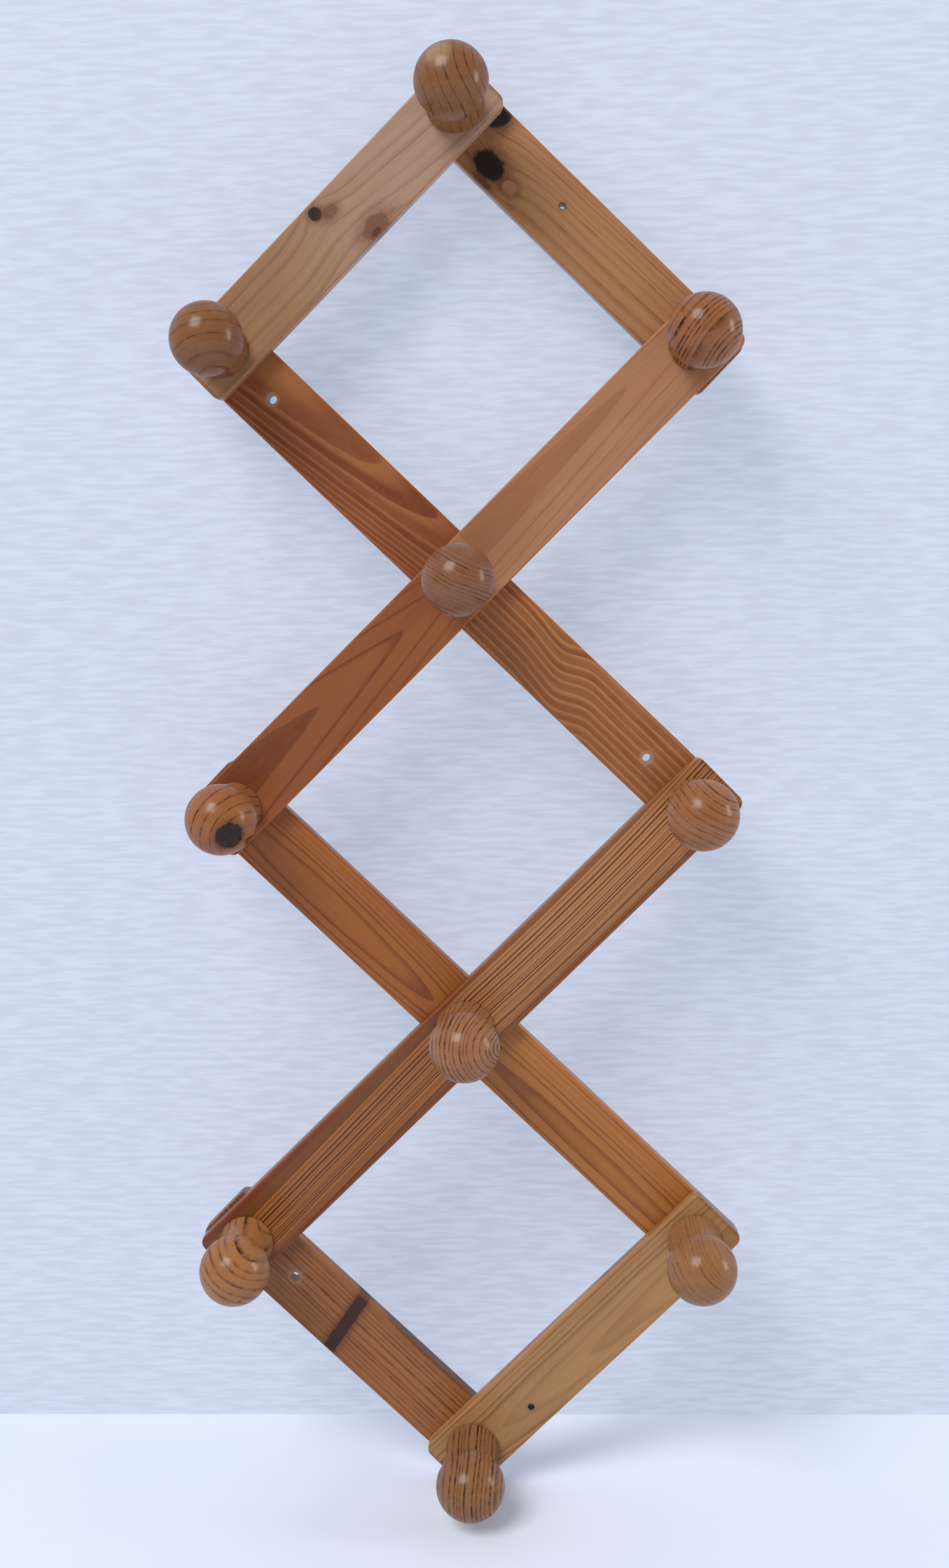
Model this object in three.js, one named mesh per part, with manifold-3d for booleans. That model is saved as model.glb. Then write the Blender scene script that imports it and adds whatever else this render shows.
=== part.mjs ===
// Expanding lattice peg rack: eight pine slats in two layers, crossing in a
// vertical chain of three diamonds, with a turned ball peg at every pivot.
//
// Units are millimetres, +Z is up, and the rack faces -Y. The plane y = 0 is the
// wall: the backs of the rear slats lie on it. The origin is on the back of the
// long upper rear slat, straight above the upper centre pivot.

import * as THREE from 'three';
import Module from 'manifold-3d';

const wasm = await Module();
wasm.setup();
const { Manifold } = wasm;

// ---------------------------------------------------------------- dimensions

// Lattice. A long slat carries three pivots and a short one carries two, all at
// the same pitch, so the whole chain folds as equal diamonds.
const PIVOT_PITCH = 187;
const REST_ANGLE_DEG = 44.3;

// Slats.
const SLAT_WIDTH = 40;
const SLAT_THICKNESS = 10;
const END_OVERHANG = 21.5;
const CORNER_RADIUS = 5.5;
const CORNER_STEPS = 5;
const EDGE_EASE = 0.8;

// Pegs, turned in one piece: ball, waisted neck, round base and tenon.
const BALL_RADIUS = 20;
const BALL_STANDOFF = 43;
const BASE_RADIUS = 16;
const BASE_THICKNESS = 3.5;
const BASE_EASE = 1.2;
const WAIST_RADIUS = 14.2;
const WAIST_FILLET = 0.5;
const TENON_RADIUS = 6;

// Rear fastening at every pivot: a washer and a round-head screw, sunk in a
// counterbore so that the rack lies flat on the wall.
const SCREW_RADIUS = 2;
const SCREW_BITE = 16;
const HEAD_RADIUS = 4;
const HEAD_HEIGHT = 2.2;
const WASHER_RADIUS = 8;
const WASHER_THICKNESS = 1;
const COUNTERBORE_DEPTH = 4.8;
const HEAD_SOCKET_RADIUS = 2;
const HEAD_SOCKET_DEPTH = 1;

// Holes for hanging the rack, on the slats' centre lines, and two small nail
// holes, each set by its distance from the slat's left pivot and by how far it
// lies above the centre line.
const WALL_HOLE_RADIUS = 2.6;
const WALL_HOLE_OFFSET = 38;
const NAIL_HOLE_RADIUS = 1.7;
const UPPER_NAIL_ALONG = 80;
const UPPER_NAIL_UP = 3.5;
const LOWER_NAIL_ALONG = 44;
const LOWER_NAIL_UP = -6.2;

// Clearances. Every pair of pieces that touch keeps SEAT between them, and a
// tenon turns in its holes with TENON_CLEARANCE all round.
const SEAT = 0.3;
const TENON_CLEARANCE = 0.4;
const SCREW_CLEARANCE = 0.3;
const WASHER_CLEARANCE = 0.5;
const COUNTERBORE_CLEARANCE = 1.6;

// Roundness of the turned pieces.
const PEG_SIDES = 24;
const BORE_SIDES = 16;
const METAL_SIDES = 16;

// ------------------------------------------------------------------- derived

const restAngle = THREE.MathUtils.degToRad(REST_ANGLE_DEG);
const halfWidth = PIVOT_PITCH * Math.cos(restAngle);
const halfHeight = PIVOT_PITCH * Math.sin(restAngle);

// Depth stations, from the wall forward.
const rearSlatBack = 0;
const rearSlatFront = rearSlatBack - SLAT_THICKNESS;
const frontSlatBack = rearSlatFront - SEAT;
const frontSlatFront = frontSlatBack - SLAT_THICKNESS;
const pegBase = frontSlatFront - SEAT;
const ballCentre = pegBase - BALL_STANDOFF;
const counterboreFloor = rearSlatBack - COUNTERBORE_DEPTH;
const tenonEnd = counterboreFloor;
const washerFront = counterboreFloor + SEAT;
const washerBack = washerFront + WASHER_THICKNESS;
const headFront = washerBack + SEAT;
const headBack = headFront + HEAD_HEIGHT;

const boreRadius = TENON_RADIUS + TENON_CLEARANCE;
const counterboreRadius = WASHER_RADIUS + COUNTERBORE_CLEARANCE;
const pilotRadius = SCREW_RADIUS + SCREW_CLEARANCE;
const pilotDepth = SCREW_BITE + SEAT;

// The origin lies this far above the upper centre pivot, clear of its
// counterbore and inside the slat.
const slatReachAbovePivot = SLAT_WIDTH / 2 / Math.cos(restAngle);
const originAbovePivot = (counterboreRadius + slatReachAbovePivot) / 2;
const latticeCentreZ = -halfHeight - originAbovePivot;

// Pivots, counted in half-diamonds across and up from the middle of the chain.
const PIVOTS = {
  top: [0, 3],
  left_1: [-1, 2],
  right_1: [1, 2],
  centre_1: [0, 1],
  left_2: [-1, 0],
  right_2: [1, 0],
  centre_2: [0, -1],
  left_3: [-1, -2],
  right_3: [1, -2],
  bottom: [0, -3],
};

// Slats, each from its left pivot to its right one. A hole is [distance from
// the left pivot, distance toward the upper edge, radius].
const SLATS = [
  { name: 'front_slat_1_short', layer: 'front', pitches: 1, left: 'left_1', holes: [] },
  { name: 'front_slat_2_long', layer: 'front', pitches: 2, left: 'left_2', holes: [] },
  { name: 'front_slat_3_long', layer: 'front', pitches: 2, left: 'left_3', holes: [] },
  {
    name: 'front_slat_4_short',
    layer: 'front',
    pitches: 1,
    left: 'bottom',
    holes: [[LOWER_NAIL_ALONG, LOWER_NAIL_UP, NAIL_HOLE_RADIUS]],
  },
  {
    name: 'rear_slat_1_short',
    layer: 'rear',
    pitches: 1,
    left: 'top',
    holes: [[UPPER_NAIL_ALONG, UPPER_NAIL_UP, NAIL_HOLE_RADIUS]],
  },
  {
    name: 'rear_slat_2_long',
    layer: 'rear',
    pitches: 2,
    left: 'left_1',
    holes: [
      [WALL_HOLE_OFFSET, 0, WALL_HOLE_RADIUS],
      [2 * PIVOT_PITCH - WALL_HOLE_OFFSET, 0, WALL_HOLE_RADIUS],
    ],
  },
  { name: 'rear_slat_3_long', layer: 'rear', pitches: 2, left: 'left_2', holes: [] },
  {
    name: 'rear_slat_4_short',
    layer: 'rear',
    pitches: 1,
    left: 'left_3',
    holes: [[WALL_HOLE_OFFSET, 0, WALL_HOLE_RADIUS]],
  },
];

// ----------------------------------------------------------------- materials

const WOOD_TONES = {
  front_slat_1_short: 0xcf9d68,
  front_slat_2_long: 0xb9793f,
  front_slat_3_long: 0xb77a43,
  front_slat_4_short: 0xc3904f,
  rear_slat_1_short: 0xc08549,
  rear_slat_2_long: 0xa9642f,
  rear_slat_3_long: 0xb67238,
  rear_slat_4_short: 0x9c6233,
};
const PEG_TONE = 0xb47a43;
const STEEL_TONE = 0xb9bbbd;

function wood(color) {
  return new THREE.MeshStandardMaterial({ color, roughness: 0.35, metalness: 0 });
}

function steel() {
  return new THREE.MeshStandardMaterial({ color: STEEL_TONE, roughness: 0.35, metalness: 1 });
}

// ------------------------------------------------------------------- helpers

/** Position of a pivot in the rack's plane, as [x, z]. */
function pivotAt(name) {
  const [across, up] = PIVOTS[name];
  return [across * halfWidth, latticeCentreZ + up * halfHeight];
}

/** Closed solid for boolean work from an indexed or loose geometry. */
function toSolid(geometry) {
  const bare = geometry.clone();
  bare.deleteAttribute('normal');
  bare.deleteAttribute('uv');
  const merged = mergeCorners(bare);
  return new Manifold(
    new wasm.Mesh({
      numProp: 3,
      vertProperties: new Float32Array(merged.positions),
      triVerts: new Uint32Array(merged.triangles),
    }),
  );
}

/** Share the corners that coincide, so that the surface closes. */
function mergeCorners(geometry) {
  const source = geometry.getAttribute('position');
  const order = geometry.index ? Array.from(geometry.index.array) : [...Array(source.count).keys()];
  const seen = new Map();
  const positions = [];
  const remap = [];
  for (let i = 0; i < source.count; i += 1) {
    const point = [source.getX(i), source.getY(i), source.getZ(i)];
    const key = point.map((value) => Math.round(value * 1e4)).join(',');
    if (!seen.has(key)) {
      seen.set(key, positions.length / 3);
      positions.push(...point);
    }
    remap.push(seen.get(key));
  }
  const triangles = [];
  for (let i = 0; i < order.length; i += 3) {
    const corners = [remap[order[i]], remap[order[i + 1]], remap[order[i + 2]]];
    if (new Set(corners).size === 3) triangles.push(...corners);
  }
  return { positions, triangles };
}

/** Drawable geometry from a boolean solid. */
function toGeometry(solid) {
  const mesh = solid.getMesh();
  const geometry = new THREE.BufferGeometry();
  geometry.setAttribute('position', new THREE.BufferAttribute(mesh.vertProperties, 3));
  geometry.setIndex(new THREE.BufferAttribute(mesh.triVerts, 1));
  return geometry;
}

/** Named mesh with its own material. */
function piece(name, geometry, material) {
  geometry.computeVertexNormals();
  const mesh = new THREE.Mesh(geometry, material);
  mesh.name = name;
  return mesh;
}

/** Solid turned about the depth axis from a profile of [radius, y], front first. */
function turned(profile, sides) {
  const points = profile.map(([radius, y]) => new THREE.Vector2(radius, y));
  return new THREE.LatheGeometry(points, sides);
}

// --------------------------------------------------------------------- slats

/** Outline of a slat that starts at its left pivot, with rounded corners. */
function slatOutline(length) {
  const low = -END_OVERHANG;
  const high = length + END_OVERHANG;
  const half = SLAT_WIDTH / 2;
  const corners = [
    [high - CORNER_RADIUS, half - CORNER_RADIUS, 0],
    [low + CORNER_RADIUS, half - CORNER_RADIUS, 1],
    [low + CORNER_RADIUS, -half + CORNER_RADIUS, 2],
    [high - CORNER_RADIUS, -half + CORNER_RADIUS, 3],
  ];
  const points = [];
  for (const [x, y, quarter] of corners) {
    for (let step = 0; step <= CORNER_STEPS; step += 1) {
      const angle = ((quarter + step / CORNER_STEPS) * Math.PI) / 2;
      points.push(new THREE.Vector2(x + CORNER_RADIUS * Math.cos(angle), y + CORNER_RADIUS * Math.sin(angle)));
    }
  }
  return new THREE.Shape(points);
}

/** Round cutter that runs from one depth to another inside a slat. */
function cutter(x, y, radius, from, to) {
  return Manifold.cylinder(to - from, radius, radius, BORE_SIDES).translate([x, y, from]);
}

/** One slat in its own frame: x along it, y toward its lower edge, z to the wall. */
function slatSolid(spec) {
  const length = spec.pitches * PIVOT_PITCH;
  const blank = new THREE.ExtrudeGeometry(slatOutline(length), {
    depth: SLAT_THICKNESS - 2 * EDGE_EASE,
    bevelEnabled: true,
    bevelSegments: 1,
    bevelThickness: EDGE_EASE,
    bevelSize: EDGE_EASE,
    bevelOffset: -EDGE_EASE,
    steps: 1,
  });
  blank.translate(0, 0, EDGE_EASE);
  let solid = toSolid(blank);
  const past = 1;
  for (let i = 0; i <= spec.pitches; i += 1) {
    const x = i * PIVOT_PITCH;
    solid = solid.subtract(cutter(x, 0, boreRadius, -past, SLAT_THICKNESS + past));
    if (spec.layer === 'rear') {
      const floor = SLAT_THICKNESS - COUNTERBORE_DEPTH;
      solid = solid.subtract(cutter(x, 0, counterboreRadius, floor, SLAT_THICKNESS + past));
    }
  }
  for (const [x, up, radius] of spec.holes) {
    solid = solid.subtract(cutter(x, -up, radius, -past, SLAT_THICKNESS + past));
  }
  return solid;
}

/** A slat turned to its rest angle and set on its left pivot. */
function slat(spec) {
  const [x, z] = pivotAt(spec.left);
  const angle = spec.layer === 'front' ? restAngle : -restAngle;
  const y = spec.layer === 'front' ? frontSlatFront : rearSlatFront;
  const along = new THREE.Vector3(Math.cos(angle), 0, Math.sin(angle));
  const inward = new THREE.Vector3(0, 1, 0);
  const downward = new THREE.Vector3().crossVectors(inward, along);
  const pose = new THREE.Matrix4().makeBasis(along, downward, inward).setPosition(x, y, z);
  const geometry = toGeometry(slatSolid(spec)).applyMatrix4(pose);
  return piece(spec.name, geometry, wood(WOOD_TONES[spec.name]));
}

// ---------------------------------------------------------------------- pegs

/** Profile of a peg: ball, neck, base and tenon, then the screw's pilot hole. */
function pegProfile() {
  const profile = [[0, ballCentre - BALL_RADIUS]];
  const joinAngle = Math.PI - Math.asin((WAIST_RADIUS + WAIST_FILLET) / BALL_RADIUS);
  const ballSteps = 9;
  for (let i = 1; i <= ballSteps; i += 1) {
    const angle = (joinAngle * i) / ballSteps;
    profile.push([BALL_RADIUS * Math.sin(angle), ballCentre - BALL_RADIUS * Math.cos(angle)]);
  }
  const join = ballCentre - BALL_RADIUS * Math.cos(joinAngle);
  const shoulder = pegBase - BASE_THICKNESS;
  profile.push([WAIST_RADIUS, (join * 2 + shoulder) / 3]);
  profile.push([WAIST_RADIUS + WAIST_FILLET, (join + shoulder * 2) / 3]);
  profile.push([BASE_RADIUS - WAIST_FILLET, shoulder]);
  profile.push([BASE_RADIUS, pegBase - BASE_EASE]);
  profile.push([BASE_RADIUS - BASE_EASE / 2, pegBase]);
  profile.push([TENON_RADIUS, pegBase]);
  profile.push([TENON_RADIUS, tenonEnd]);
  profile.push([pilotRadius, tenonEnd]);
  profile.push([pilotRadius, tenonEnd - pilotDepth]);
  profile.push([0, tenonEnd - pilotDepth]);
  return profile;
}

/** Washer between the tenon's end and the screw head. */
function washerSolid() {
  const hole = SCREW_RADIUS + WASHER_CLEARANCE;
  const disc = Manifold.cylinder(WASHER_THICKNESS, WASHER_RADIUS, WASHER_RADIUS, METAL_SIDES);
  const cut = Manifold.cylinder(WASHER_THICKNESS + 2, hole, hole, METAL_SIDES).translate([0, 0, -1]);
  return disc.subtract(cut).rotate([-90, 0, 0]).translate([0, washerFront, 0]);
}

/** Profile of a screw from its tip back to the socket in its low round head. */
function screwProfile() {
  const tip = tenonEnd - SCREW_BITE;
  return [
    [0, tip],
    [SCREW_RADIUS, tip + 2 * SCREW_RADIUS],
    [SCREW_RADIUS, headFront],
    [HEAD_RADIUS, headFront],
    [HEAD_RADIUS, headFront + HEAD_HEIGHT * 0.4],
    [HEAD_RADIUS * 0.7, headBack],
    [HEAD_SOCKET_RADIUS, headBack],
    [0, headBack - HEAD_SOCKET_DEPTH],
  ];
}

/** A peg with its washer and screw, set on one pivot. */
function pegSet(name) {
  const [x, z] = pivotAt(name);
  const parts = [
    piece(`peg_${name}`, turned(pegProfile(), PEG_SIDES), wood(PEG_TONE)),
    piece(`washer_${name}`, toGeometry(washerSolid()), steel()),
    piece(`screw_${name}`, turned(screwProfile(), METAL_SIDES), steel()),
  ];
  for (const part of parts) part.geometry.translate(x, 0, z);
  return parts;
}

// ---------------------------------------------------------------------- rack

const rack = new THREE.Group();
rack.name = 'lattice_peg_rack';
for (const spec of SLATS) rack.add(slat(spec));
for (const name of Object.keys(PIVOTS)) rack.add(...pegSet(name));

export default rack;
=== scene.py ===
"""Expanding lattice peg rack in varnished pine, dressed for a studio picture.

Eight flat slats cross in two layers and a turned ball peg stands at every pivot.
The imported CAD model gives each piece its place. This script gives the slats,
pegs, washers and screws their finer meshes and their wood and metal finishes.
All sizes are in metres: +Z is up, the pegs point to -Y and the wall is at y = 0.
"""

import logging
import math
from dataclasses import dataclass
from enum import Enum
from typing import Any, Optional, Sequence, Union

import bmesh
import bpy
from mathutils import Matrix, Vector

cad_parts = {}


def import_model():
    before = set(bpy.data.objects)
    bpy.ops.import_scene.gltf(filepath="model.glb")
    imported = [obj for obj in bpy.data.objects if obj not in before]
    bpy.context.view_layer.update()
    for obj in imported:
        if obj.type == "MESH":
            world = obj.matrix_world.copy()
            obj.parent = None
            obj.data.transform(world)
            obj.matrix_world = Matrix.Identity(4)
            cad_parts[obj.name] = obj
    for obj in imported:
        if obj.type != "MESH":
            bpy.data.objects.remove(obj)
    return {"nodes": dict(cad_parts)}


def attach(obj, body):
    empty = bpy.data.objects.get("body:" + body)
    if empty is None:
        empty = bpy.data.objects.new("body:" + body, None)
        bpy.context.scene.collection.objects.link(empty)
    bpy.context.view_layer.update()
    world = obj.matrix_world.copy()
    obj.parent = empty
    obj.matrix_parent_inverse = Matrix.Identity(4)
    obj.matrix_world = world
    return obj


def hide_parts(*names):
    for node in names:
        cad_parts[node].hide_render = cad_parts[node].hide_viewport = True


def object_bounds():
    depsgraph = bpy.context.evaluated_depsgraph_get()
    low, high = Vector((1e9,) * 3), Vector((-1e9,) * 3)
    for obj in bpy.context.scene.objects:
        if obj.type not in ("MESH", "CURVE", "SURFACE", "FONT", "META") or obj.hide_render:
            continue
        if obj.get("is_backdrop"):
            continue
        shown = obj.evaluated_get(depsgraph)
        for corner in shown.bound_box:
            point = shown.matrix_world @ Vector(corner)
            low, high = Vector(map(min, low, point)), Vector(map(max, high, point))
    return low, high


LOG = logging.getLogger("lattice_rack")

Socket = bpy.types.NodeSocket
Value = Union[float, Sequence[float], Socket]
Rgb = tuple[int, int, int]
Colour = tuple[float, float, float, float]
Ring = list[tuple[float, float]]

MM_PER_METRE = 1000.0
# Lengths below this one, in metres, count as nothing.
TINY = 1e-7
# Edges that turn less than this, in degrees, are shaded smooth.
SMOOTH_BELOW = 35.0


class Layer(Enum):
    """The two layers of slats."""

    FRONT = "front"
    REAR = "rear"


class Slot(Enum):
    """The record's material slots."""

    PALE = "pine_pale"
    HONEY = "pine_honey"
    GOLDEN = "pine_golden"
    RED_BROWN = "pine_red_brown"
    PEG = "pine_peg"
    STEEL = "zinc_steel"


# --------------------------------------------------------------------------
# Small tools
# --------------------------------------------------------------------------


def mm(value: float) -> float:
    """Millimetres as metres."""
    return value / MM_PER_METRE


def tint(red: int, green: int, blue: int) -> Colour:
    """A display colour as the linear colour that a shader takes.

    Args:
        red: Red, from 0 to 255.
        green: Green, from 0 to 255.
        blue: Blue, from 0 to 255.

    Returns:
        Linear red, green, blue and an alpha of one.
    """
    linear = []
    for part in (red, green, blue):
        share = part / 255.0
        low = share <= 0.04045
        linear.append(share / 12.92 if low else ((share + 0.055) / 1.055) ** 2.4)
    return linear[0], linear[1], linear[2], 1.0


def place_object(name: str, data: bpy.types.ID) -> bpy.types.Object:
    """Puts a mesh, a light or a camera in the scene as a new object.

    Args:
        name: The object's name.
        data: What it shows.

    Returns:
        The new object.
    """
    made = bpy.data.objects.new(name, data)
    bpy.context.scene.collection.objects.link(made)
    return made


class Graph:
    """Adds and wires shader nodes in one node tree."""

    def __init__(self, tree: bpy.types.NodeTree) -> None:
        """Keeps the tree that the nodes go into."""
        self.tree = tree

    def node(self, kind: str, **settings: Any) -> bpy.types.Node:
        """Adds a node.

        Args:
            kind: The node's type name, without its ShaderNode prefix.
            **settings: Properties to set on the node.

        Returns:
            The new node.
        """
        made = self.tree.nodes.new("ShaderNode" + kind)
        for name, value in settings.items():
            setattr(made, name, value)
        return made

    def feed(self, socket: Socket, value: Value) -> None:
        """Links a socket to another one, or sets its own value.

        Args:
            socket: The input socket.
            value: An output socket or a plain value.
        """
        if isinstance(value, bpy.types.NodeSocket):
            self.tree.links.new(value, socket)
        else:
            socket.default_value = value

    def math(self, operation: str, *values: Value, clamp: bool = False) -> Socket:
        """Adds a Math node over one to three values.

        Args:
            operation: The node's operation.
            *values: Its inputs.
            clamp: Whether the result is kept between 0 and 1.

        Returns:
            The result.
        """
        made = self.node("Math", operation=operation, use_clamp=clamp)
        for socket, value in zip(made.inputs, values):
            self.feed(socket, value)
        return made.outputs[0]

    def vector(self, operation: str, *values: Value) -> bpy.types.Node:
        """Adds a Vector Math node over its values.

        Args:
            operation: The node's operation.
            *values: Its inputs.

        Returns:
            The node.
        """
        made = self.node("VectorMath", operation=operation)
        for socket, value in zip(made.inputs, values):
            self.feed(socket, value)
        return made

    def split(self, vector: Socket) -> tuple[Socket, Socket, Socket]:
        """The x, y and z of a vector.

        Args:
            vector: The vector.

        Returns:
            Its three parts.
        """
        made = self.node("SeparateXYZ")
        self.feed(made.inputs[0], vector)
        return made.outputs[0], made.outputs[1], made.outputs[2]

    def join(self, x: Value, y: Value, z: Value) -> Socket:
        """A vector from its x, y and z.

        Args:
            x: The x.
            y: The y.
            z: The z.

        Returns:
            The vector.
        """
        made = self.node("CombineXYZ")
        for socket, value in zip(made.inputs, (x, y, z)):
            self.feed(socket, value)
        return made.outputs[0]

    def smooth(self, value: Value, low: Value, high: Value) -> Socket:
        """Rises smoothly from 0 at low to 1 at high, or falls if low is the larger.

        Args:
            value: What is read.
            low: Where the result is 0.
            high: Where the result is 1.

        Returns:
            The result, from 0 to 1.
        """
        made = self.node("MapRange", interpolation_type="SMOOTHSTEP")
        for socket, part in zip(made.inputs, (value, low, high, 0.0, 1.0)):
            self.feed(socket, part)
        return made.outputs[0]

    def between(self, factor: Value, low: Value, high: Value) -> Socket:
        """Blends two numbers by a factor.

        Args:
            factor: How much of the second number is taken.
            low: The first number.
            high: The second number.

        Returns:
            The blended number.
        """
        made = self.node("Mix", data_type="FLOAT")
        for index, part in ((0, factor), (2, low), (3, high)):
            self.feed(made.inputs[index], part)
        return made.outputs[0]

    def blend(self, factor: Value, low: Value, high: Value, mode: str = "MIX") -> Socket:
        """Blends two colours by a factor.

        Args:
            factor: How much of the second colour shows.
            low: The first colour.
            high: The second colour.
            mode: The blend mode.

        Returns:
            The blended colour.
        """
        made = self.node("Mix", data_type="RGBA", blend_type=mode)
        for index, part in ((0, factor), (6, low), (7, high)):
            self.feed(made.inputs[index], part)
        return made.outputs[2]

    def noise(
        self, vector: Value, scale: float, detail: float = 2.0, rough: float = 0.5
    ) -> bpy.types.Node:
        """Adds a Noise Texture over a vector.

        Args:
            vector: Where the noise is read.
            scale: Features per unit of the vector.
            detail: Octaves.
            rough: How strong the finer octaves are.

        Returns:
            The noise node: its outputs are a number and a colour.
        """
        made = self.node("TexNoise", noise_dimensions="3D")
        self.feed(made.inputs["Vector"], vector)
        made.inputs["Scale"].default_value = scale
        made.inputs["Detail"].default_value = detail
        made.inputs["Roughness"].default_value = rough
        return made

    def grained(
        self, place: Value, per_metre: Sequence[float], detail: float = 2.0, rough: float = 0.5
    ) -> Socket:
        """Noise that is finer along some axes than along others.

        Args:
            place: Where the noise is read.
            per_metre: Features per metre along x, y and z.
            detail: Octaves.
            rough: How strong the finer octaves are.

        Returns:
            The noise, from 0 to 1.
        """
        scaled = self.vector("MULTIPLY", place, per_metre).outputs[0]
        return self.noise(scaled, 1.0, detail, rough).outputs[0]

    def swing(self, noise: Socket, amount: Value) -> Socket:
        """A noise as a push to either side, of the amount from end to end."""
        return self.math("MULTIPLY", self.math("SUBTRACT", noise, 0.5), amount)

    def length(self, u: Value, v: Value) -> Socket:
        """The length of the flat vector (u, v)."""
        squares = self.math("MULTIPLY", u, u), self.math("MULTIPLY", v, v)
        return self.math("SQRT", self.math("ADD", *squares))

    def call(self, group: bpy.types.NodeTree, **values: Value) -> bpy.types.Node:
        """Places a node group.

        Args:
            group: The group's tree.
            **values: Input values by socket name, with _ for a space.

        Returns:
            The group node.
        """
        made = self.node("Group", node_tree=group)
        for name, value in values.items():
            self.feed(made.inputs[name.replace("_", " ")], value)
        return made


def new_material(name: str) -> tuple[bpy.types.Material, Graph, bpy.types.Node]:
    """A new material, its graph and its Principled shader.

    Args:
        name: The material's name.

    Returns:
        The material, the graph and the shader.
    """
    material = bpy.data.materials.new(name)
    material.use_nodes = True
    return material, Graph(material.node_tree), material.node_tree.nodes["Principled BSDF"]


class GroupMaker:
    """Starts a shader node group with named inputs and outputs."""

    KINDS = {"float": "NodeSocketFloat", "vector": "NodeSocketVector", "colour": "NodeSocketColor"}

    def __init__(self, name: str, inputs: dict[str, str], outputs: dict[str, str]) -> None:
        """Makes the group's tree and sockets.

        Args:
            name: The group's name.
            inputs: Input names and kinds: float, vector or colour.
            outputs: Output names and kinds.
        """
        self.tree = bpy.data.node_groups.new(name, "ShaderNodeTree")
        for direction, sockets in (("INPUT", inputs), ("OUTPUT", outputs)):
            for label, kind in sockets.items():
                kind = self.KINDS[kind]
                self.tree.interface.new_socket(name=label, in_out=direction, socket_type=kind)
        self.graph = Graph(self.tree)
        self.start = self.tree.nodes.new("NodeGroupInput")
        self.end = self.tree.nodes.new("NodeGroupOutput")

    def take(self, label: str) -> Socket:
        """The group's input of that name."""
        return self.start.outputs[label]

    def give(self, label: str, value: Socket) -> None:
        """Wires a value to the group's output of that name."""
        self.graph.feed(self.end.inputs[label], value)


# --------------------------------------------------------------------------
# Wood: the node groups that every slat and peg shares
# --------------------------------------------------------------------------


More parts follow.
